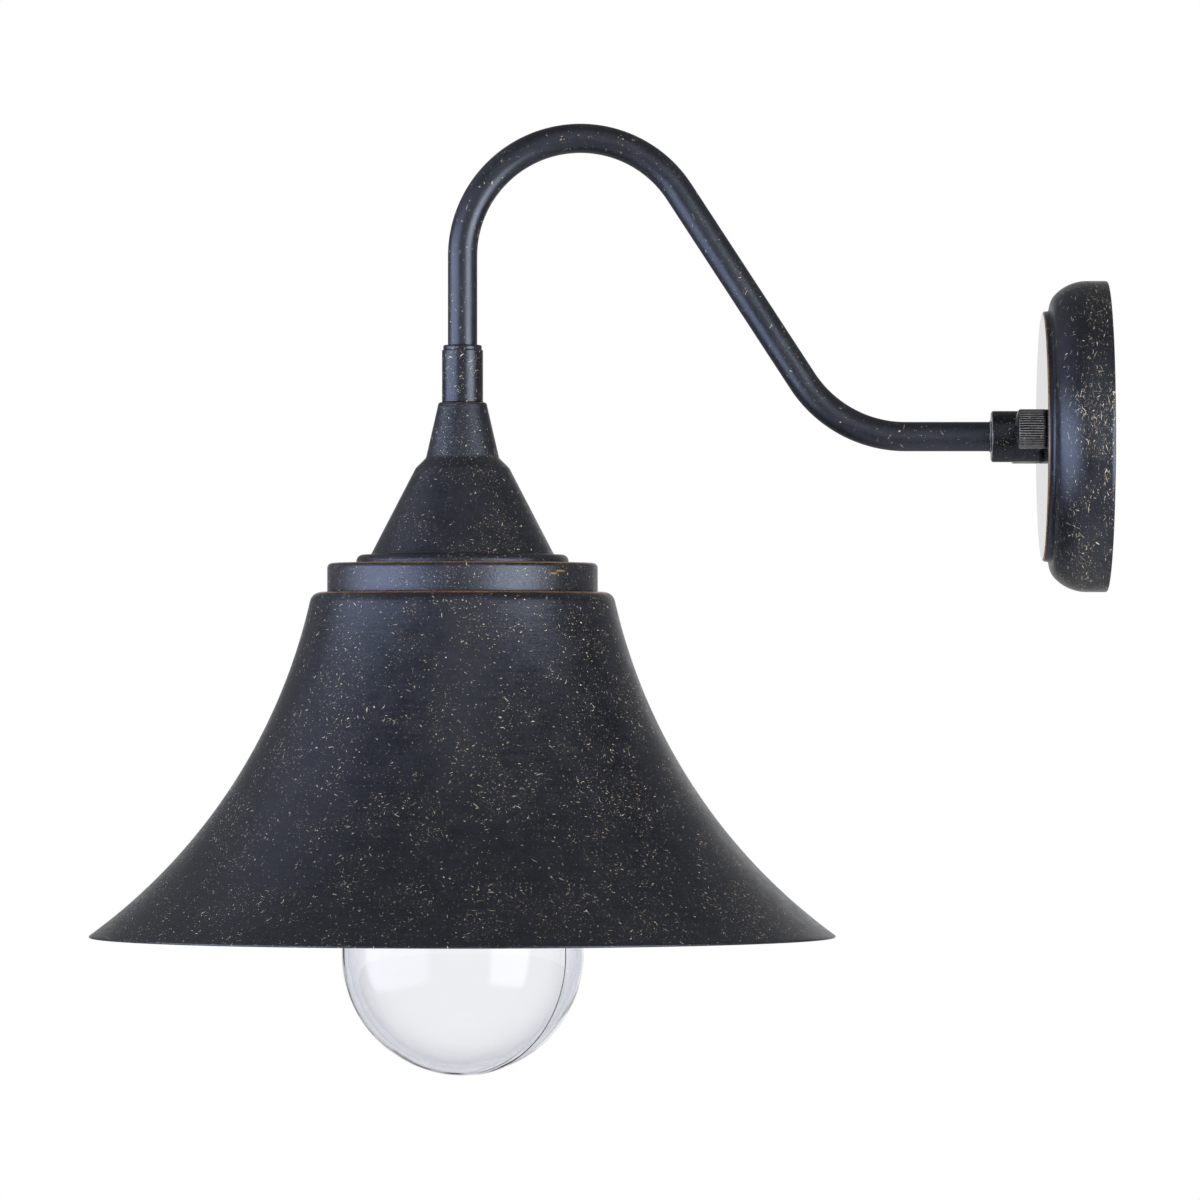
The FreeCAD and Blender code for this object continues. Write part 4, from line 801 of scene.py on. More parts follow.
# %% [markdown]
# ## The arm
#
# The arm is one tube, bent twice: a lower bend turns it up from the plate, and a crest brings it
# down over the head. Its centre line is made of straight runs and tangent arcs, as a bender leaves
# it. The surface carries a circle along that line, with the distance and the angle as its two
# parameters. The inside comes back the other way, so the tube is a closed skin with a real bore.

# %% Centre line
_, ARM_START, _ = span_on_wall("arm_tube")
CREST_OUT = -HEAD_Y
ARM_TOP = corners_of("arm_tube")[1].z - TUBE_R
ARM_END = COLLAR_TOP - HEAD_SOCKET
LOWER_OUT, LOWER_R = 82.2, 50.2
CREST_HEIGHT = 73.7
ARM_SLOPE = 56.9


def arm_line():
    """Points (y, z) of the centre line, and the direction of travel at each of them.

    The crest's radius is the one for which its arc touches the diagonal and the drop alike."""
    slope = math.radians(ARM_SLOPE)
    touch = np.array([-LOWER_OUT - LOWER_R * math.sin(slope), LOWER_R * (1 - math.cos(slope))])
    run = CREST_OUT + touch[0] - (CREST_HEIGHT - touch[1]) / math.tan(slope)
    crest_r = run * math.sin(slope) / (1 + math.sin(slope))
    crest = np.array([-CREST_OUT + crest_r, CREST_HEIGHT])
    points = np.concatenate(
        [
            spread([[-ARM_START, 0], [-LOWER_OUT, 0]], 3),
            arc((-LOWER_OUT, LOWER_R), LOWER_R, -90, -90 - ARM_SLOPE, 40)[1:],
            spread([touch, crest + crest_r * np.array([math.sin(slope), math.cos(slope)])], 3)[1:],
            arc(crest, crest_r, 90 - ARM_SLOPE, 180, 72)[1:],
            spread([[-CREST_OUT, CREST_HEIGHT], [-CREST_OUT, ARM_END]], 3)[1:],
        ]
    )
    travel = np.gradient(points, axis=0)
    return points, travel / np.linalg.norm(travel, axis=1, keepdims=True)


def tube_grid(points, travel, radius, steps):
    """Point = centre + radius (cos a * sideways + sin a * X), sideways being square to travel."""
    angle = round_turn(steps)[None, :, None]
    zero = np.zeros(len(points))
    centre = np.stack([zero, points[:, 0], points[:, 1]], axis=1)[:, None]
    sideways = np.stack([zero, -travel[:, 1], travel[:, 0]], axis=1)[:, None]
    across = np.array([1.0, 0.0, 0.0])
    return centre + radius * (np.cos(angle) * sideways + np.sin(angle) * across)


# %% Arm tube
TUBE_WALL = 1.0

arm_points, arm_travel = arm_line()
outer = tube_grid(arm_points, arm_travel, TUBE_R, 48)
inner = tube_grid(arm_points, arm_travel, TUBE_R - TUBE_WALL, 48)
arm = make_mesh("arm_bent", np.concatenate([outer, inner[::-1]]), wrap_rows=True)
show("arm_bent", arm, TUBE_BRONZE, "bronze", "arm_tube")
length = np.linalg.norm(np.diff(arm_points, axis=0), axis=1).sum()
print("arm length:", round(length, 1), "mm, top at", round(arm_points[:, 1].max(), 2), ARM_TOP)

# %% [markdown]
# ## The collar on the plate
#
# Where the tube enters the plate it is held by a heavier collar. Its outer edge is rounded, and a
# small concave neck runs from its face up to the tube. Both edges are light grey: worn paint, and
# a painted highlight along each.

# %% Wall collar
WALL_COLLAR_R, _, COLLAR_BEAD_END = span_on_wall("wall_collar")
PLATE_R = span_on_wall("backplate")[0]
BEAD_LENGTH, BEAD_HEIGHT = 0.9, 1.9
COLLAR_EDGE, COLLAR_BEVEL = 1.1, 0.2
COLLAR_FACE = COLLAR_BEAD_END - BEAD_LENGTH


def wall_collar_outline():
    """The neck is a quarter of an ellipse, hollow side out, from the face to the tube."""
    turn = np.radians(np.linspace(0, 90, 10))
    neck = np.stack(
        [
            TUBE_FIT_R + BEAD_HEIGHT * (1 - np.sin(turn)),
            COLLAR_FACE + BEAD_LENGTH * (1 - np.cos(turn)),
        ],
        axis=1,
    )
    shoulder = arc(
        (WALL_COLLAR_R - COLLAR_EDGE, COLLAR_FACE - COLLAR_EDGE), COLLAR_EDGE, 0, 90, 10
    )
    runs = [
        spread([[STEM_R, PLATE_FACE], [WALL_COLLAR_R - COLLAR_BEVEL, PLATE_FACE]], 1.5),
        spread([[WALL_COLLAR_R, PLATE_FACE + COLLAR_BEVEL], shoulder[0]], 1.5),
        shoulder[1:],
        neck,
        [[TUBE_FIT_R, ARM_START], [STEM_R, ARM_START], [STEM_R, PLATE_FACE]],
    ]
    return np.concatenate(runs)


# Grey on both edges: worn paint, and the painted highlight of each edge.
wall_collar_wear_and_highlights = (
    (WALL_COLLAR_R - 0.5, COLLAR_FACE - 0.2, 0.4, 0.75),
    (TUBE_FIT_R + 0.5, COLLAR_BEAD_END - 0.5, 0.4, 0.75),
)
show_turned("wall_collar_turned", "wall_collar", wall_collar_outline(), KNOB_BRONZE,
            stand=stand_on_wall, steps=96, spots=wall_collar_wear_and_highlights)

# %% [markdown]
# ## The back plate
#
# The plate is a thin casting, open towards the wall: a straight rim, a soft shoulder made of two
# tangent arcs, a narrow step and a flat disc. The dish behind has the same thickness all over.
# Wear follows the edges, so copper shows at the disc's front edge and at the wall.

# %% Plate
PLATE_WALL = 1.6
PLATE_DEPTH = 23.3
PLATE_LAND = 8.2
PLATE_BEVEL = 0.4
BOSS_R = 51.1
SHOULDER_START = BOSS_R + 1.7
BIG_R = 18.0


def plate_outline():
    """The small arc's radius is the one for which it touches the big arc and the flat land."""
    across = SHOULDER_START - PLATE_R + BIG_R
    up = PLATE_DEPTH - PLATE_LAND
    small_r = (BIG_R**2 - across**2 - up**2) / (2 * (BIG_R - up))
    big_centre = (PLATE_R - BIG_R, PLATE_LAND)
    small_centre = (SHOULDER_START, PLATE_DEPTH - small_r)
    apart = np.subtract(small_centre, big_centre)
    touch = math.degrees(math.atan2(apart[1], apart[0]))
    wall = PLATE_WALL
    outside = [
        [[PLATE_R - PLATE_BEVEL, 0], [PLATE_R, PLATE_BEVEL]],
        spread([[PLATE_R, PLATE_BEVEL], [PLATE_R, PLATE_LAND]], 1.2)[1:],
        arc(big_centre, BIG_R, 0, touch, 22)[1:],
        arc(small_centre, small_r, touch, 90, 14)[1:],
    ]
    step = rounded(
        (SHOULDER_START, PLATE_DEPTH),
        (BOSS_R, PLATE_DEPTH, 1.6),
        (BOSS_R, PLATE_FACE, 1.4),
        (STEM_R, PLATE_FACE),
        (STEM_R, PLATE_FACE - wall),
        (BOSS_R - wall, PLATE_FACE - wall),
        (BOSS_R - wall, PLATE_DEPTH - wall),
        (SHOULDER_START, PLATE_DEPTH - wall),
        closed=False,
        step=1.5,
    )
    inside = [
        arc(small_centre, small_r - wall, 90, touch, 12)[1:],
        arc(big_centre, BIG_R - wall, touch, 0, 20)[1:],
        [[PLATE_R - wall, PLATE_LAND], [PLATE_R - wall, 0], [PLATE_R - PLATE_BEVEL, 0]],
    ]
    return np.concatenate([*outside, step[1:], *inside])


plate_rubs = ((BOSS_R - 0.6, PLATE_FACE - 0.25, 0.5, 0.75), (PLATE_R, 0.1, 0.35, 0.5))
show_turned("plate_cast", "backplate", plate_outline(), PLATE_BRONZE, stand=stand_on_wall,
            steps=FINE_STEPS, spots=plate_rubs)

# %% [markdown]
# ## Knurled cap nuts
#
# Two cap nuts hold the plate on its studs. Fine straight ridges for the fingers run from a smooth
# land at the plate to a low dome with a small bevel. They are a triangle wave of the angle that
# takes up to 0.42 mm off the radius, except where the dome is narrower already. The ridge tops and
# the dome's brim are light grey: worn paint, and a painted highlight.

# %% Where a piece stands on the strap
KNOB_R = 8.0
KNOB_FOOT = PLATE_FACE
KNOB_END = span_on_wall("cap_nut_right")[2]
knob_low, knob_high = corners_of("cap_nut_right")
STUD_X, STUD_Z = (knob_low.x + knob_high.x) / 2, (knob_low.z + knob_high.z) / 2
STUD_OUT = math.hypot(STUD_X, STUD_Z)
TILT = math.atan2(STUD_Z, STUD_X)
LEVEL, UPRIGHT = math.cos(TILT), math.sin(TILT)


def stand_on_strap(along):
    """Puts a piece on the tilted line of the studs, at a distance from the plate's axis."""

    def stand(x, y, z):
        x = along + x
        return np.stack([x * LEVEL - y * UPRIGHT, -z, x * UPRIGHT + y * LEVEL], axis=-1)

    return stand


print("studs at", round(STUD_OUT, 2), "mm, tilted by", round(math.degrees(TILT), 2), "degrees")

# %% Cap nuts
KNURLS = 48
KNURL_DEPTH = 0.42
KNOB_LAND = 0.8
KNOB_DOME = 1.9
KNOB_BEVEL = 0.25
BRIM_IN, BRIM_DOWN = 0.45, 0.35
KNOB_HOLE = 10.4
SEAL_R, SEAL_DEPTH = 5.7, 1
STUD_R = 2.05
THREAD_GAP = 0.15


def knob_outline():
    """The dome is a cap of a sphere whose radius is (wide^2 + high^2) / (2 high)."""
    dome_foot = KNOB_END - KNOB_DOME
    crown_r = (KNOB_R**2 + KNOB_DOME**2) / (2 * KNOB_DOME)
    brim = math.degrees(math.acos((KNOB_R - BRIM_IN) / crown_r))
    bore, seat, end = STUD_R + THREAD_GAP, KNOB_FOOT + SEAL_DEPTH, KNOB_FOOT + KNOB_HOLE
    runs = [
        [[SEAL_R, KNOB_FOOT], [KNOB_R - KNOB_BEVEL, KNOB_FOOT]],
        spread([[KNOB_R, KNOB_FOOT + KNOB_BEVEL], [KNOB_R, dome_foot - BRIM_DOWN]], 0.4),
        arc((0, KNOB_END - crown_r), crown_r, brim, 90, 16),
        [[0, end], [bore, end], [bore, seat], [SEAL_R, seat], [SEAL_R, KNOB_FOOT]],
    ]
    return np.concatenate(runs)


def knurled(radius, height, angle):
    """Radius = least of the plain radius and the ridge's, which falls by a triangle wave."""
    wave = np.abs((angle * KNURLS / (2 * np.pi)) % 1 * 2 - 1)
    cut = np.clip((height - KNOB_FOOT - KNOB_LAND) / 0.5, 0, 1)
    ridge = KNOB_R - KNURL_DEPTH * wave * cut
    outside = radius > KNOB_R - KNURL_DEPTH - 0.01
    # crest paints the ridge tops light grey: worn paint and painted highlight together
    crest = np.clip(1.25 - wave * 3.2, 0, 1) * cut * outside * (height < KNOB_END - KNOB_DOME)
    return np.where(outside, np.minimum(radius, ridge), radius), height, crest


# The dome's brim gets a light grey ring: worn paint, and a painted highlight.
knob_brim_wear_and_highlight = ((KNOB_R - 0.3, KNOB_END - KNOB_DOME, 0.35, 0.6),)
for side, node in ((1, "cap_nut_right"), (-1, "cap_nut_left")):
    stand = stand_on_strap(STUD_OUT * side)
    show_turned(node + "_knurled", node, knob_outline(), KNOB_BRONZE, stand=stand,
                steps=KNURLS * 8, spots=knob_brim_wear_and_highlight, shape=knurled)

# %% [markdown]
# ## The glass jar
#
# The jar is a straight cylinder with a round bottom and a narrower neck that screws into its
# holder. The two halves of its mould left a fine raised seam down each side, and the neck carries
# one turn of thread. Both are functions that add to the radius, so the points of the grid are
# closer together where they lie. The walls of blown glass are never quite true, which a slow wave
# in the radius shows.

# %% Jar
JAR_R, JAR_FOOT, JAR_TOP = span_on_head("glass_jar")
JAR_WALL = 2.6
NECK_R, NECK_WALL = 40.3, 3.6
JAR_LAND = span_on_head("jar_gasket")[1]
JAR_ROUND = JAR_FOOT + JAR_R
SEAM_ANGLE = math.radians(59)
SEAM_HEIGHT, SEAM_WIDTH = 0.18, 0.32
BROAD_WAVE, NARROW_WAVE = 0.09, 0.04
THREAD_PITCH, THREAD_BEAD, THREAD_WIDTH = 6.0, 1.3, 1.1
JAR_THREAD_RISE, HOLDER_THREAD_RISE = 11.0, 5.0


def thread(height, angle, foot):
    """A bell curve about one turn of a helix that starts at foot and fades at both ends."""
    turn = angle / (2 * np.pi)
    helix = foot + THREAD_PITCH * turn
    fade = np.clip(turn * 12, 0, 1) * np.clip((1 - turn) * 12, 0, 1)
    return THREAD_BEAD * np.exp(-(((height - helix) / THREAD_WIDTH) ** 2)) * fade


def jar_outline():
    """The bottom is half a sphere, and the inner face lies one wall inside the outer one."""
    outer = rounded(
        (JAR_R, JAR_ROUND),
        (JAR_R, JAR_LAND, 5.5),
        (NECK_R, JAR_LAND, 0.8),
        (NECK_R, JAR_TOP, 1.2),
        (NECK_R - NECK_WALL, JAR_TOP, 1.2),
        (NECK_R - NECK_WALL, JAR_LAND - JAR_WALL, 1.5),
        (JAR_R - JAR_WALL, JAR_LAND - JAR_WALL, 2.9),
        (JAR_R - JAR_WALL, JAR_ROUND),
        closed=False,
        step=0.7,
    )
    bottom_out = arc((0, JAR_ROUND), JAR_R, -90, 0, 60)
    bottom_in = arc((0, JAR_ROUND), JAR_R - JAR_WALL, 0, -90, 60)
    return np.concatenate([bottom_out, outer[1:], bottom_in[1:]])


def seam_angles():
    """Even angles, with extra ones close to the two seams."""
    offsets = np.arange(-1.1, 1.11, 0.11) / JAR_R
    near = np.concatenate([SEAM_ANGLE + offsets, SEAM_ANGLE + np.pi + offsets])
    return np.unique(np.concatenate([round_turn(224), near]))


def moulded(radius, height, angle):
    """The seam is a bell curve that stands out along the normal, which in the round bottom points
    away from the sphere's centre. The thread is a ridge on one turn of a helix round the neck,
    and slow sines move both faces of the wall together."""
    from_seam = (angle - SEAM_ANGLE + np.pi / 2) % np.pi - np.pi / 2
    below = np.minimum(height - JAR_ROUND, 0)
    from_centre = np.hypot(radius, below)
    skin = from_centre > JAR_R - 0.5
    seam = SEAM_HEIGHT * np.exp(-((from_seam * radius / SEAM_WIDTH) ** 2)) * skin
    seam = seam * np.clip(radius / 8, 0, 1) * (0.6 + 0.4 * np.cos(angle - SEAM_ANGLE))
    on_neck = (np.abs(radius - NECK_R) < 0.01) & (height > JAR_LAND)
    bead = thread(height, angle, JAR_LAND + JAR_THREAD_RISE) * on_neck
    body = np.clip((JAR_LAND - height) / 12, 0, 1) * np.clip(radius / 20, 0, 1)
    broad = np.sin(3 * angle + height / 31)
    narrow = np.sin(7 * angle - height / 11)
    wave = -(SEAM_HEIGHT + BROAD_WAVE * (1 + broad) + NARROW_WAVE * (1 + narrow)) * body
    wider = seam * radius / np.maximum(from_centre, 1) + bead + wave
    return radius + wider, height + seam * below / np.maximum(from_centre, 1) * body, 0


show_turned("jar_blown", "glass_jar", jar_outline(), CLEAR_GLASS, "clear_glass", shape=moulded,
            angles=seam_angles())

# %% [markdown]
# ## What holds the jar
#
# A cast cup hangs under the shade's top. The jar's neck screws up into its skirt, and a soft
# washer takes up the play. The cup has the same paint as the rest with few flecks, and one turn
# of thread stands in from its bore.

# %% Jar holder and gasket
HOLDER_FLANGE_R, SKIRT_FOOT, HOLDER_TOP = span_on_head("jar_holder")
HOLDER_R, HOLDER_BORE_R = 47.0, 42.4
WEB_FOOT = HOLDER_TOP - 3.0

holder_outline = rounded(
    (STEM_R, HOLDER_TOP),
    (STEM_R, WEB_FOOT),
    (HOLDER_BORE_R, WEB_FOOT, 1.2),
    (HOLDER_BORE_R, SKIRT_FOOT, 0.6),
    (HOLDER_R, SKIRT_FOOT, 1.0),
    (HOLDER_R, WEB_FOOT, 1.5),
    (HOLDER_FLANGE_R, WEB_FOOT, 0.6),
    (HOLDER_FLANGE_R, HOLDER_TOP),
    step=0.7,
)


def threaded_bore(radius, height, angle):
    """Radius - thread, in the bore only."""
    on_bore = np.abs(radius - HOLDER_BORE_R) < 0.01
    return radius - thread(height, angle, SKIRT_FOOT + HOLDER_THREAD_RISE) * on_bore, height, 0


show_turned("holder_cast", "jar_holder", holder_outline, CAST_BRONZE, "bronze_cast", steps=192,
            shape=threaded_bore)

GASKET_R, GASKET_FOOT, GASKET_TOP = span_on_head("jar_gasket")
GASKET_BORE_R = NECK_R + 0.3
gasket_outline = rounded(
    (GASKET_BORE_R, GASKET_FOOT, 0.4),
    (GASKET_R, GASKET_FOOT, 0.9),
    (GASKET_R, GASKET_TOP, 0.9),
    (GASKET_BORE_R, GASKET_TOP, 0.4),
)
show_turned("jar_washer", "jar_gasket", gasket_outline, RUBBER, "rubber")

# %% [markdown]
# ## The lampholder
#
# Inside the jar hangs a porcelain lampholder with a rolled brass shell for a medium screw bulb.
# The porcelain is pressed and glazed, so all its edges are soft. The shell's thread is rolled into
# thin sheet, so one cosine of the height minus the turn moves the inside and the outside alike.

# %% Porcelain body
LAMP_R, LAMP_FOOT, LAMP_TOP = span_on_head("lampholder_body")
LAMP_NECK_R, LAMP_NECK, LAMP_SHOULDER = 13.5, 8.0, 4.0
SHELL_SPAN_R, SHELL_FOOT, SHELL_TOP = span_on_head("screw_shell")
CHAMBER_R, CHAMBER_HEIGHT, PARTITION = 13.2, 7.0, 3.0
CHAMBER_FOOT = SHELL_TOP + PARTITION
SOCKET_R = SHELL_SPAN_R + 0.5

lamp_outline = rounded(
    (STEM_R, LAMP_TOP),
    (STEM_R, CHAMBER_FOOT + CHAMBER_HEIGHT),
    (CHAMBER_R, CHAMBER_FOOT + CHAMBER_HEIGHT, 0.5),
    (CHAMBER_R, CHAMBER_FOOT, 0.5),
    (0, CHAMBER_FOOT),
    (0, SHELL_TOP),
    (SOCKET_R, SHELL_TOP, 0.3),
    (SOCKET_R, LAMP_FOOT, 0.8),
    (LAMP_R, LAMP_FOOT, 1.6),
    (LAMP_R, LAMP_TOP - LAMP_NECK - LAMP_SHOULDER, 1.6),
    (LAMP_NECK_R, LAMP_TOP - LAMP_NECK, 1.6),
    (LAMP_NECK_R, LAMP_TOP, 0.8),
    step=1.2,
)
show_turned("lampholder_glazed", "lampholder_body", lamp_outline, PORCELAIN, "porcelain",
            steps=128)

# %% Rolled screw shell
SHELL_SHEET, SHELL_STEP = 0.3, 0.28
SHELL_PITCH, SHELL_WAVE = 3.629, 0.32
SHELL_R = SHELL_SPAN_R - SHELL_WAVE
FLANGE_HOLE_R = 9.5


def shell_outline():
    """Down the outside and up the inside, one sheet apart, in steps fine enough for the wave."""
    low, high = SHELL_FOOT, SHELL_TOP
    inside, under = SHELL_R - SHELL_SHEET, SHELL_TOP - SHELL_SHEET
    runs = [
        spread([[FLANGE_HOLE_R, high], [SHELL_R, high]], 1.5),
        spread([[SHELL_R, high], [SHELL_R, low]], SHELL_STEP)[1:],
        spread([[inside, low], [inside, under]], SHELL_STEP),
        [[FLANGE_HOLE_R, under], [FLANGE_HOLE_R, high]],
    ]
    return np.concatenate(runs)


def rolled(radius, height, angle):
    """Radius + wave * cos(2 pi height / pitch - angle), faded out under the flange."""
    fade = np.clip((SHELL_TOP - height - 1.5) / 2.5, 0, 1) * (radius > FLANGE_HOLE_R + 3)
    wave = SHELL_WAVE * np.cos(2 * np.pi * height / SHELL_PITCH - angle)
    return radius + wave * fade, height, 0


show_turned("shell_rolled", "screw_shell", shell_outline(), BRASS, "brass", steps=96,
            shape=rolled)

# %% [markdown]
# ## Behind the plate
#
# The studs that carry the cap nuts stand on a steel strap. Their rolled thread is a triangle wave
# in the radius that climbs with the turn. The twist-on connectors have ribs for the fingers, a
# cosine of the angle that fades out towards the tip, and the foam ring is a soft closed outline.

# %% Threaded studs
_, STUD_START, STUD_END = span_on_wall("canopy_studs")
STUD_PITCH = 0.79375
STUD_THREAD = 0.35
STUD_BEVEL = 0.4
STUD_TIP_R = STUD_R - 0.5


def stud_thread(radius, height, angle):
    """Radius - depth * triangle wave of (height / pitch - turn)."""
    wave = np.abs((height / STUD_PITCH - angle / (2 * np.pi)) % 1 * 2 - 1)
    return np.where(radius > STUD_R - 0.3, radius - STUD_THREAD * wave, radius), height, 0


def stud_outline():
    """A side in steps of a sixth of the pitch, so that the thread has points for its wave."""
    side = spread([[STUD_R, STUD_START + 0.01], [STUD_R, STUD_END - STUD_BEVEL]], STUD_PITCH / 6)
    foot = [[0, STUD_START], [STUD_R - STUD_THREAD - 0.01, STUD_START]]
    return np.concatenate([foot, side, [[STUD_TIP_R, STUD_END], [0, STUD_END]]])


def joined(name, meshes):
    """Puts several meshes in one."""
    edit = bmesh.new()
    for mesh in meshes:
        edit.from_mesh(mesh)
    whole = bpy.data.meshes.new(name)
    edit.to_mesh(whole)
    edit.free()
    whole.polygons.foreach_set("use_smooth", np.ones(len(whole.polygons), bool))
    return whole


studs = [
    turned("stud", stud_outline(), stand_on_strap(side * STUD_OUT), 24, shape=stud_thread)
    for side in (1, -1)
]
show("studs_threaded", joined("studs_threaded", studs), ZINC, "zinc_steel", "canopy_studs")

# %% Foam ring
FOAM_R, FOAM_START, FOAM_END = span_on_wall("wall_gasket")
FOAM_BORE_R = FOAM_R - 4.2
foam_outline = rounded(
    (FOAM_BORE_R, FOAM_START, 0.4),
    (FOAM_R, FOAM_START, 0.4),
    (FOAM_R, FOAM_END, 1.2),
    (FOAM_BORE_R, FOAM_END, 1.2),
)
show_turned("foam_ring", "wall_gasket", foam_outline, FOAM, "foam", stand=stand_on_wall,
            steps=192)

# %% Twist-on connectors
MOUTH_R, WAIST_R, TIP_R = 5.3, 4.8, 3.3
CONNECTOR_LENGTH, WAIST_HEIGHT = 20.0, 11.0
CONNECTOR_BORE_R, BORE_DEPTH = 1.0, 9.0
RIBS, RIB_DEPTH, RIB_LENGTH = 14, 0.45, 17

connector_outline = rounded(
    (CONNECTOR_BORE_R, 0),
    (MOUTH_R, 0, 0.6),
    (WAIST_R, WAIST_HEIGHT, 2.0),
    (TIP_R, CONNECTOR_LENGTH, 1.2),
    (0, CONNECTOR_LENGTH),
    (0, BORE_DEPTH),
    (CONNECTOR_BORE_R, BORE_DEPTH),
    step=0.8,
)


def ribbed(radius, height, angle):
    """Radius - groove: a cosine of the angle, deepest near the mouth and gone at the tip."""
    groove = 0.5 * (1 - np.cos(RIBS * angle)) * np.clip(1 - height / RIB_LENGTH, 0, 1)
    ribs = RIB_DEPTH * groove * np.clip(height / 1.5, 0, 1) * (radius > 2.5)
    return radius - ribs, height, 0


def stand_at(start, way):
    """Stands a piece up at a point, so that its height runs along a direction square to Y."""

    def stand(x, y, z):
        across = start.x + x * way.z + z * way.x
        return np.stack([across, start.y + y, start.z - x * way.x + z * way.z], axis=-1)

    return stand


for node, way in (
    ("live_connector", Vector((0, 0, 1))),
    ("neutral_connector", Vector((0, 0, -1))),
    ("ground_connector", Vector((-UPRIGHT, 0, LEVEL))),
):
    low, high = corners_of(node)
    across = high.x - MOUTH_R * abs(way.z)
    foot = low.z + MOUTH_R * abs(way.x) if way.z > 0 else high.z
    stand = stand_at(Vector((across, (low.y + high.y) / 2, foot)), way)
    show_turned(node + "_ribbed", node, connector_outline, ORANGE_PLASTIC, "orange_plastic",
                stand=stand, steps=112, shape=ribbed)

# %% [markdown]
# ## Pieces that keep their solid shape
#
# Nuts, washers, the strap, the leads and the small brass parts are right as they are, so they
# stay and only get their finish. A table of finishes and nodes does it in one loop.

# %% Dress the rest
FINISHES = {
    ZINC: "mounting_strap stud_lock_nuts wall_nipple wall_lock_washer wall_nipple_nut head_nipple"
    " cover_nut holder_lock_washer holder_nut",
    GREEN_ZINC: "ground_screw",
    BLACK_OXIDE: "collar_set_screw",
    RUBBER: "nut_seal_right nut_seal_left",
    BARE_COPPER: "ground_lead",
    BRASS: "shell_rivet contact_rivet contact_leaf live_terminal neutral_terminal",
    BLACK_PLASTIC: "live_lead",
    WHITE_PLASTIC: "neutral_lead",
}
kept = 0
for material, nodes in FINISHES.items():
    for node in nodes.split():
        kept += 1
        for place in frame["nodes"][node].material_slots:
            place.material = material
print(kept, "nodes keep their shape")

# %% [markdown]
# ## Floor, backdrop and light
#
# The photograph is a studio picture on pure white. Two soft boxes beside the camera's line of
# sight give the dark paint its two upright bands of light, and two large dim ones stand for the
# room in front and at the left. More light would turn the background white as well, but it would
# bleach the paint. So the sky is white only for rays of the camera and of the glass, and for
# reflections that look straight away from the camera. The pale floor lies far enough below to take
# only a soft shadow, and fades to white for the camera and the glass.


# %% Stage
FLOOR_Z = -2.70
FLOOR_R = 7.0
HORIZON_R = (1.0, 2.4)
WHITE = (1, 1, 1, 1)
FLOOR_DARK, FLOOR_LIGHT = (0.87, 0.84, 0.78, 1), (0.91, 0.88, 0.82, 1)
AMBIENT = (0.19, 0.19, 0.1957, 1)
LIT_Z = -0.08
WATTS_TO_WHITE = 4
CLOTH_EDGE = (0.25, 0.11)
BACKDROP_WAY = (-0.996, 0.09, 0)
BACKDROP_EDGE = (0.90, 0.97)


def seen_as_background(wire):
    """1 for rays of the camera, direct or through glass, which both see a white studio."""
    path = wire.node("ShaderNodeLightPath", (), (), "Is Camera Ray")
    return path.maximum(Wire(path.socket.node.outputs["Is Transmission Ray"]))


def make_floor():
    """A disc: x = r cos a, y = r sin a, with a finish that turns to white light far away and lets
    the view through from beneath."""
    radius = np.linspace(0, FLOOR_R, 24)[:, None] / MM
    angle = round_turn(96)[None]
    ones = np.ones_like(radius * angle)
    grid = stand_on_head(radius * np.cos(angle), radius * np.sin(angle), ones * FLOOR_Z / MM)
    mesh = make_mesh("floor", grid)
    if mesh.polygons[0].normal.z < 0:
        mesh.flip_normals()
    floor = add_object("floor", mesh)
    material, place = start_material("pale_floor")
    colour = place.noise(1 / 180, 2.0).mix(FLOOR_DARK, FLOOR_LIGHT)
    finish_material(material, place, Base_Color=colour, Roughness=0.8)
    surface = material.node_tree.nodes["Material Output"].inputs["Surface"]
    diffuse = Wire(surface.links[0].from_socket)
    glow = place.node("ShaderNodeEmission", (), {"Color": WHITE, "Strength": 1.0})
    away = ((place - (0, HEAD_Y, FLOOR_Z / MM)) * MM).length().ease(*HORIZON_R)
    share = away * seen_as_background(place)
    above = place.node("ShaderNodeMixShader", (), {0: share, 1: diffuse, 2: glow})
    beneath = place.node("ShaderNodeNewGeometry", (), (), "Backfacing")
    clear = place.node("ShaderNodeBsdfTransparent")
    mixed = place.node("ShaderNodeMixShader", (), {0: beneath, 1: above, 2: clear})
    mixed.into("Material Output", "Surface")
    mesh.materials.append(material)


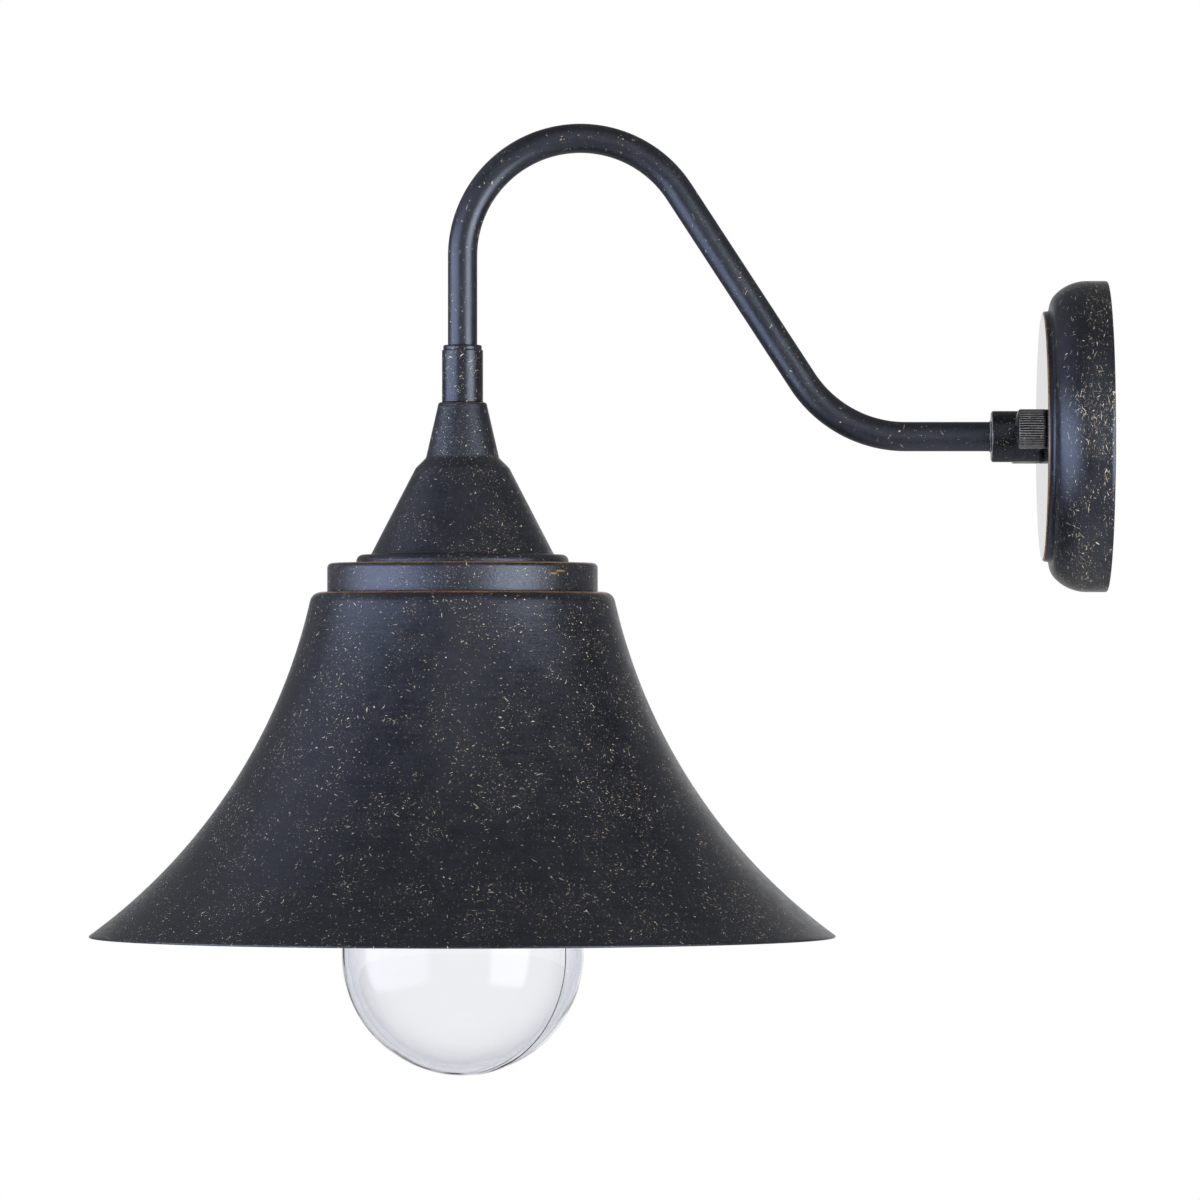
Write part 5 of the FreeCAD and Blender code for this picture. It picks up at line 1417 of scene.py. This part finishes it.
def make_sky():
    """White for the camera and through glass, a white wall behind the light for reflections, and
    a dim even grey for everything else."""
    world = bpy.data.worlds.new("studio")
    world.use_nodes = True
    bpy.context.scene.world = world
    coordinates = world.node_tree.nodes.new("ShaderNodeTexCoord")
    direction = Wire(coordinates.outputs["Generated"])
    behind = direction.dot(BACKDROP_WAY).ease(*BACKDROP_EDGE)
    glossy_ray = direction.node("ShaderNodeLightPath", (), (), "Is Glossy Ray")
    white = seen_as_background(direction).maximum(glossy_ray * behind)
    white.mix(AMBIENT, WHITE).into("Background", "Color")


def make_softbox(name, azimuth, distance, width, height, level, tint, rise=0.0, drop=0.0):
    """An area light that faces the shade. azimuth is measured from the camera's side towards the
    wall, in degrees. level is the brightness of its face: 1 is white and takes 4 watts for each
    square metre. Its cloth is dimmer near the frame, so that its reflections end softly."""
    light = bpy.data.lights.new(name, "AREA")
    light.shape = "RECTANGLE"
    light.size, light.size_y = width, height
    light.energy = level * WATTS_TO_WHITE * width * height
    light.color = tint
    light.use_nodes = True
    face = light.node_tree.nodes.new("ShaderNodeNewGeometry")
    cloth = Wire(face.outputs["Parametric"]) - (0.5, 0.5, 0)
    across, up = cloth.part(0), cloth.part(1)
    fade = (across * across).ease(*CLOTH_EDGE) * (up * up).ease(*CLOTH_EDGE)
    fade.into("Emission", "Strength")
    box = add_object(name, light)
    turn = math.radians(azimuth)
    target = Vector((0, HEAD_Y * MM, LIT_Z))
    box.location = target + Vector((math.cos(turn), math.sin(turn), rise)) * distance
    box.rotation_euler = (target - box.location).to_track_quat("-Z", "Y").to_euler()
    box.location.z -= drop
    box.visible_camera = False
    box.visible_transmission = False


make_floor()
make_sky()
make_softbox("softbox_left", -67, 2.2, 3.7, 2.3, 3.5, (0.74, 0.80, 1.0), drop=0.25)
make_softbox("softbox_right", 47, 2.2, 1.8, 2.3, 5.3, (0.97, 0.98, 1.0), drop=0.25)
make_softbox("room_front", 0, 3.0, 1.8, 5.0, 0.47, (1.0, 0.98, 0.94), rise=0.5)
make_softbox("room_left", -100, 2.4, 3.2, 2.2, 0.27, (0.80, 0.85, 1.0), rise=0.8)
print("studio is lit")
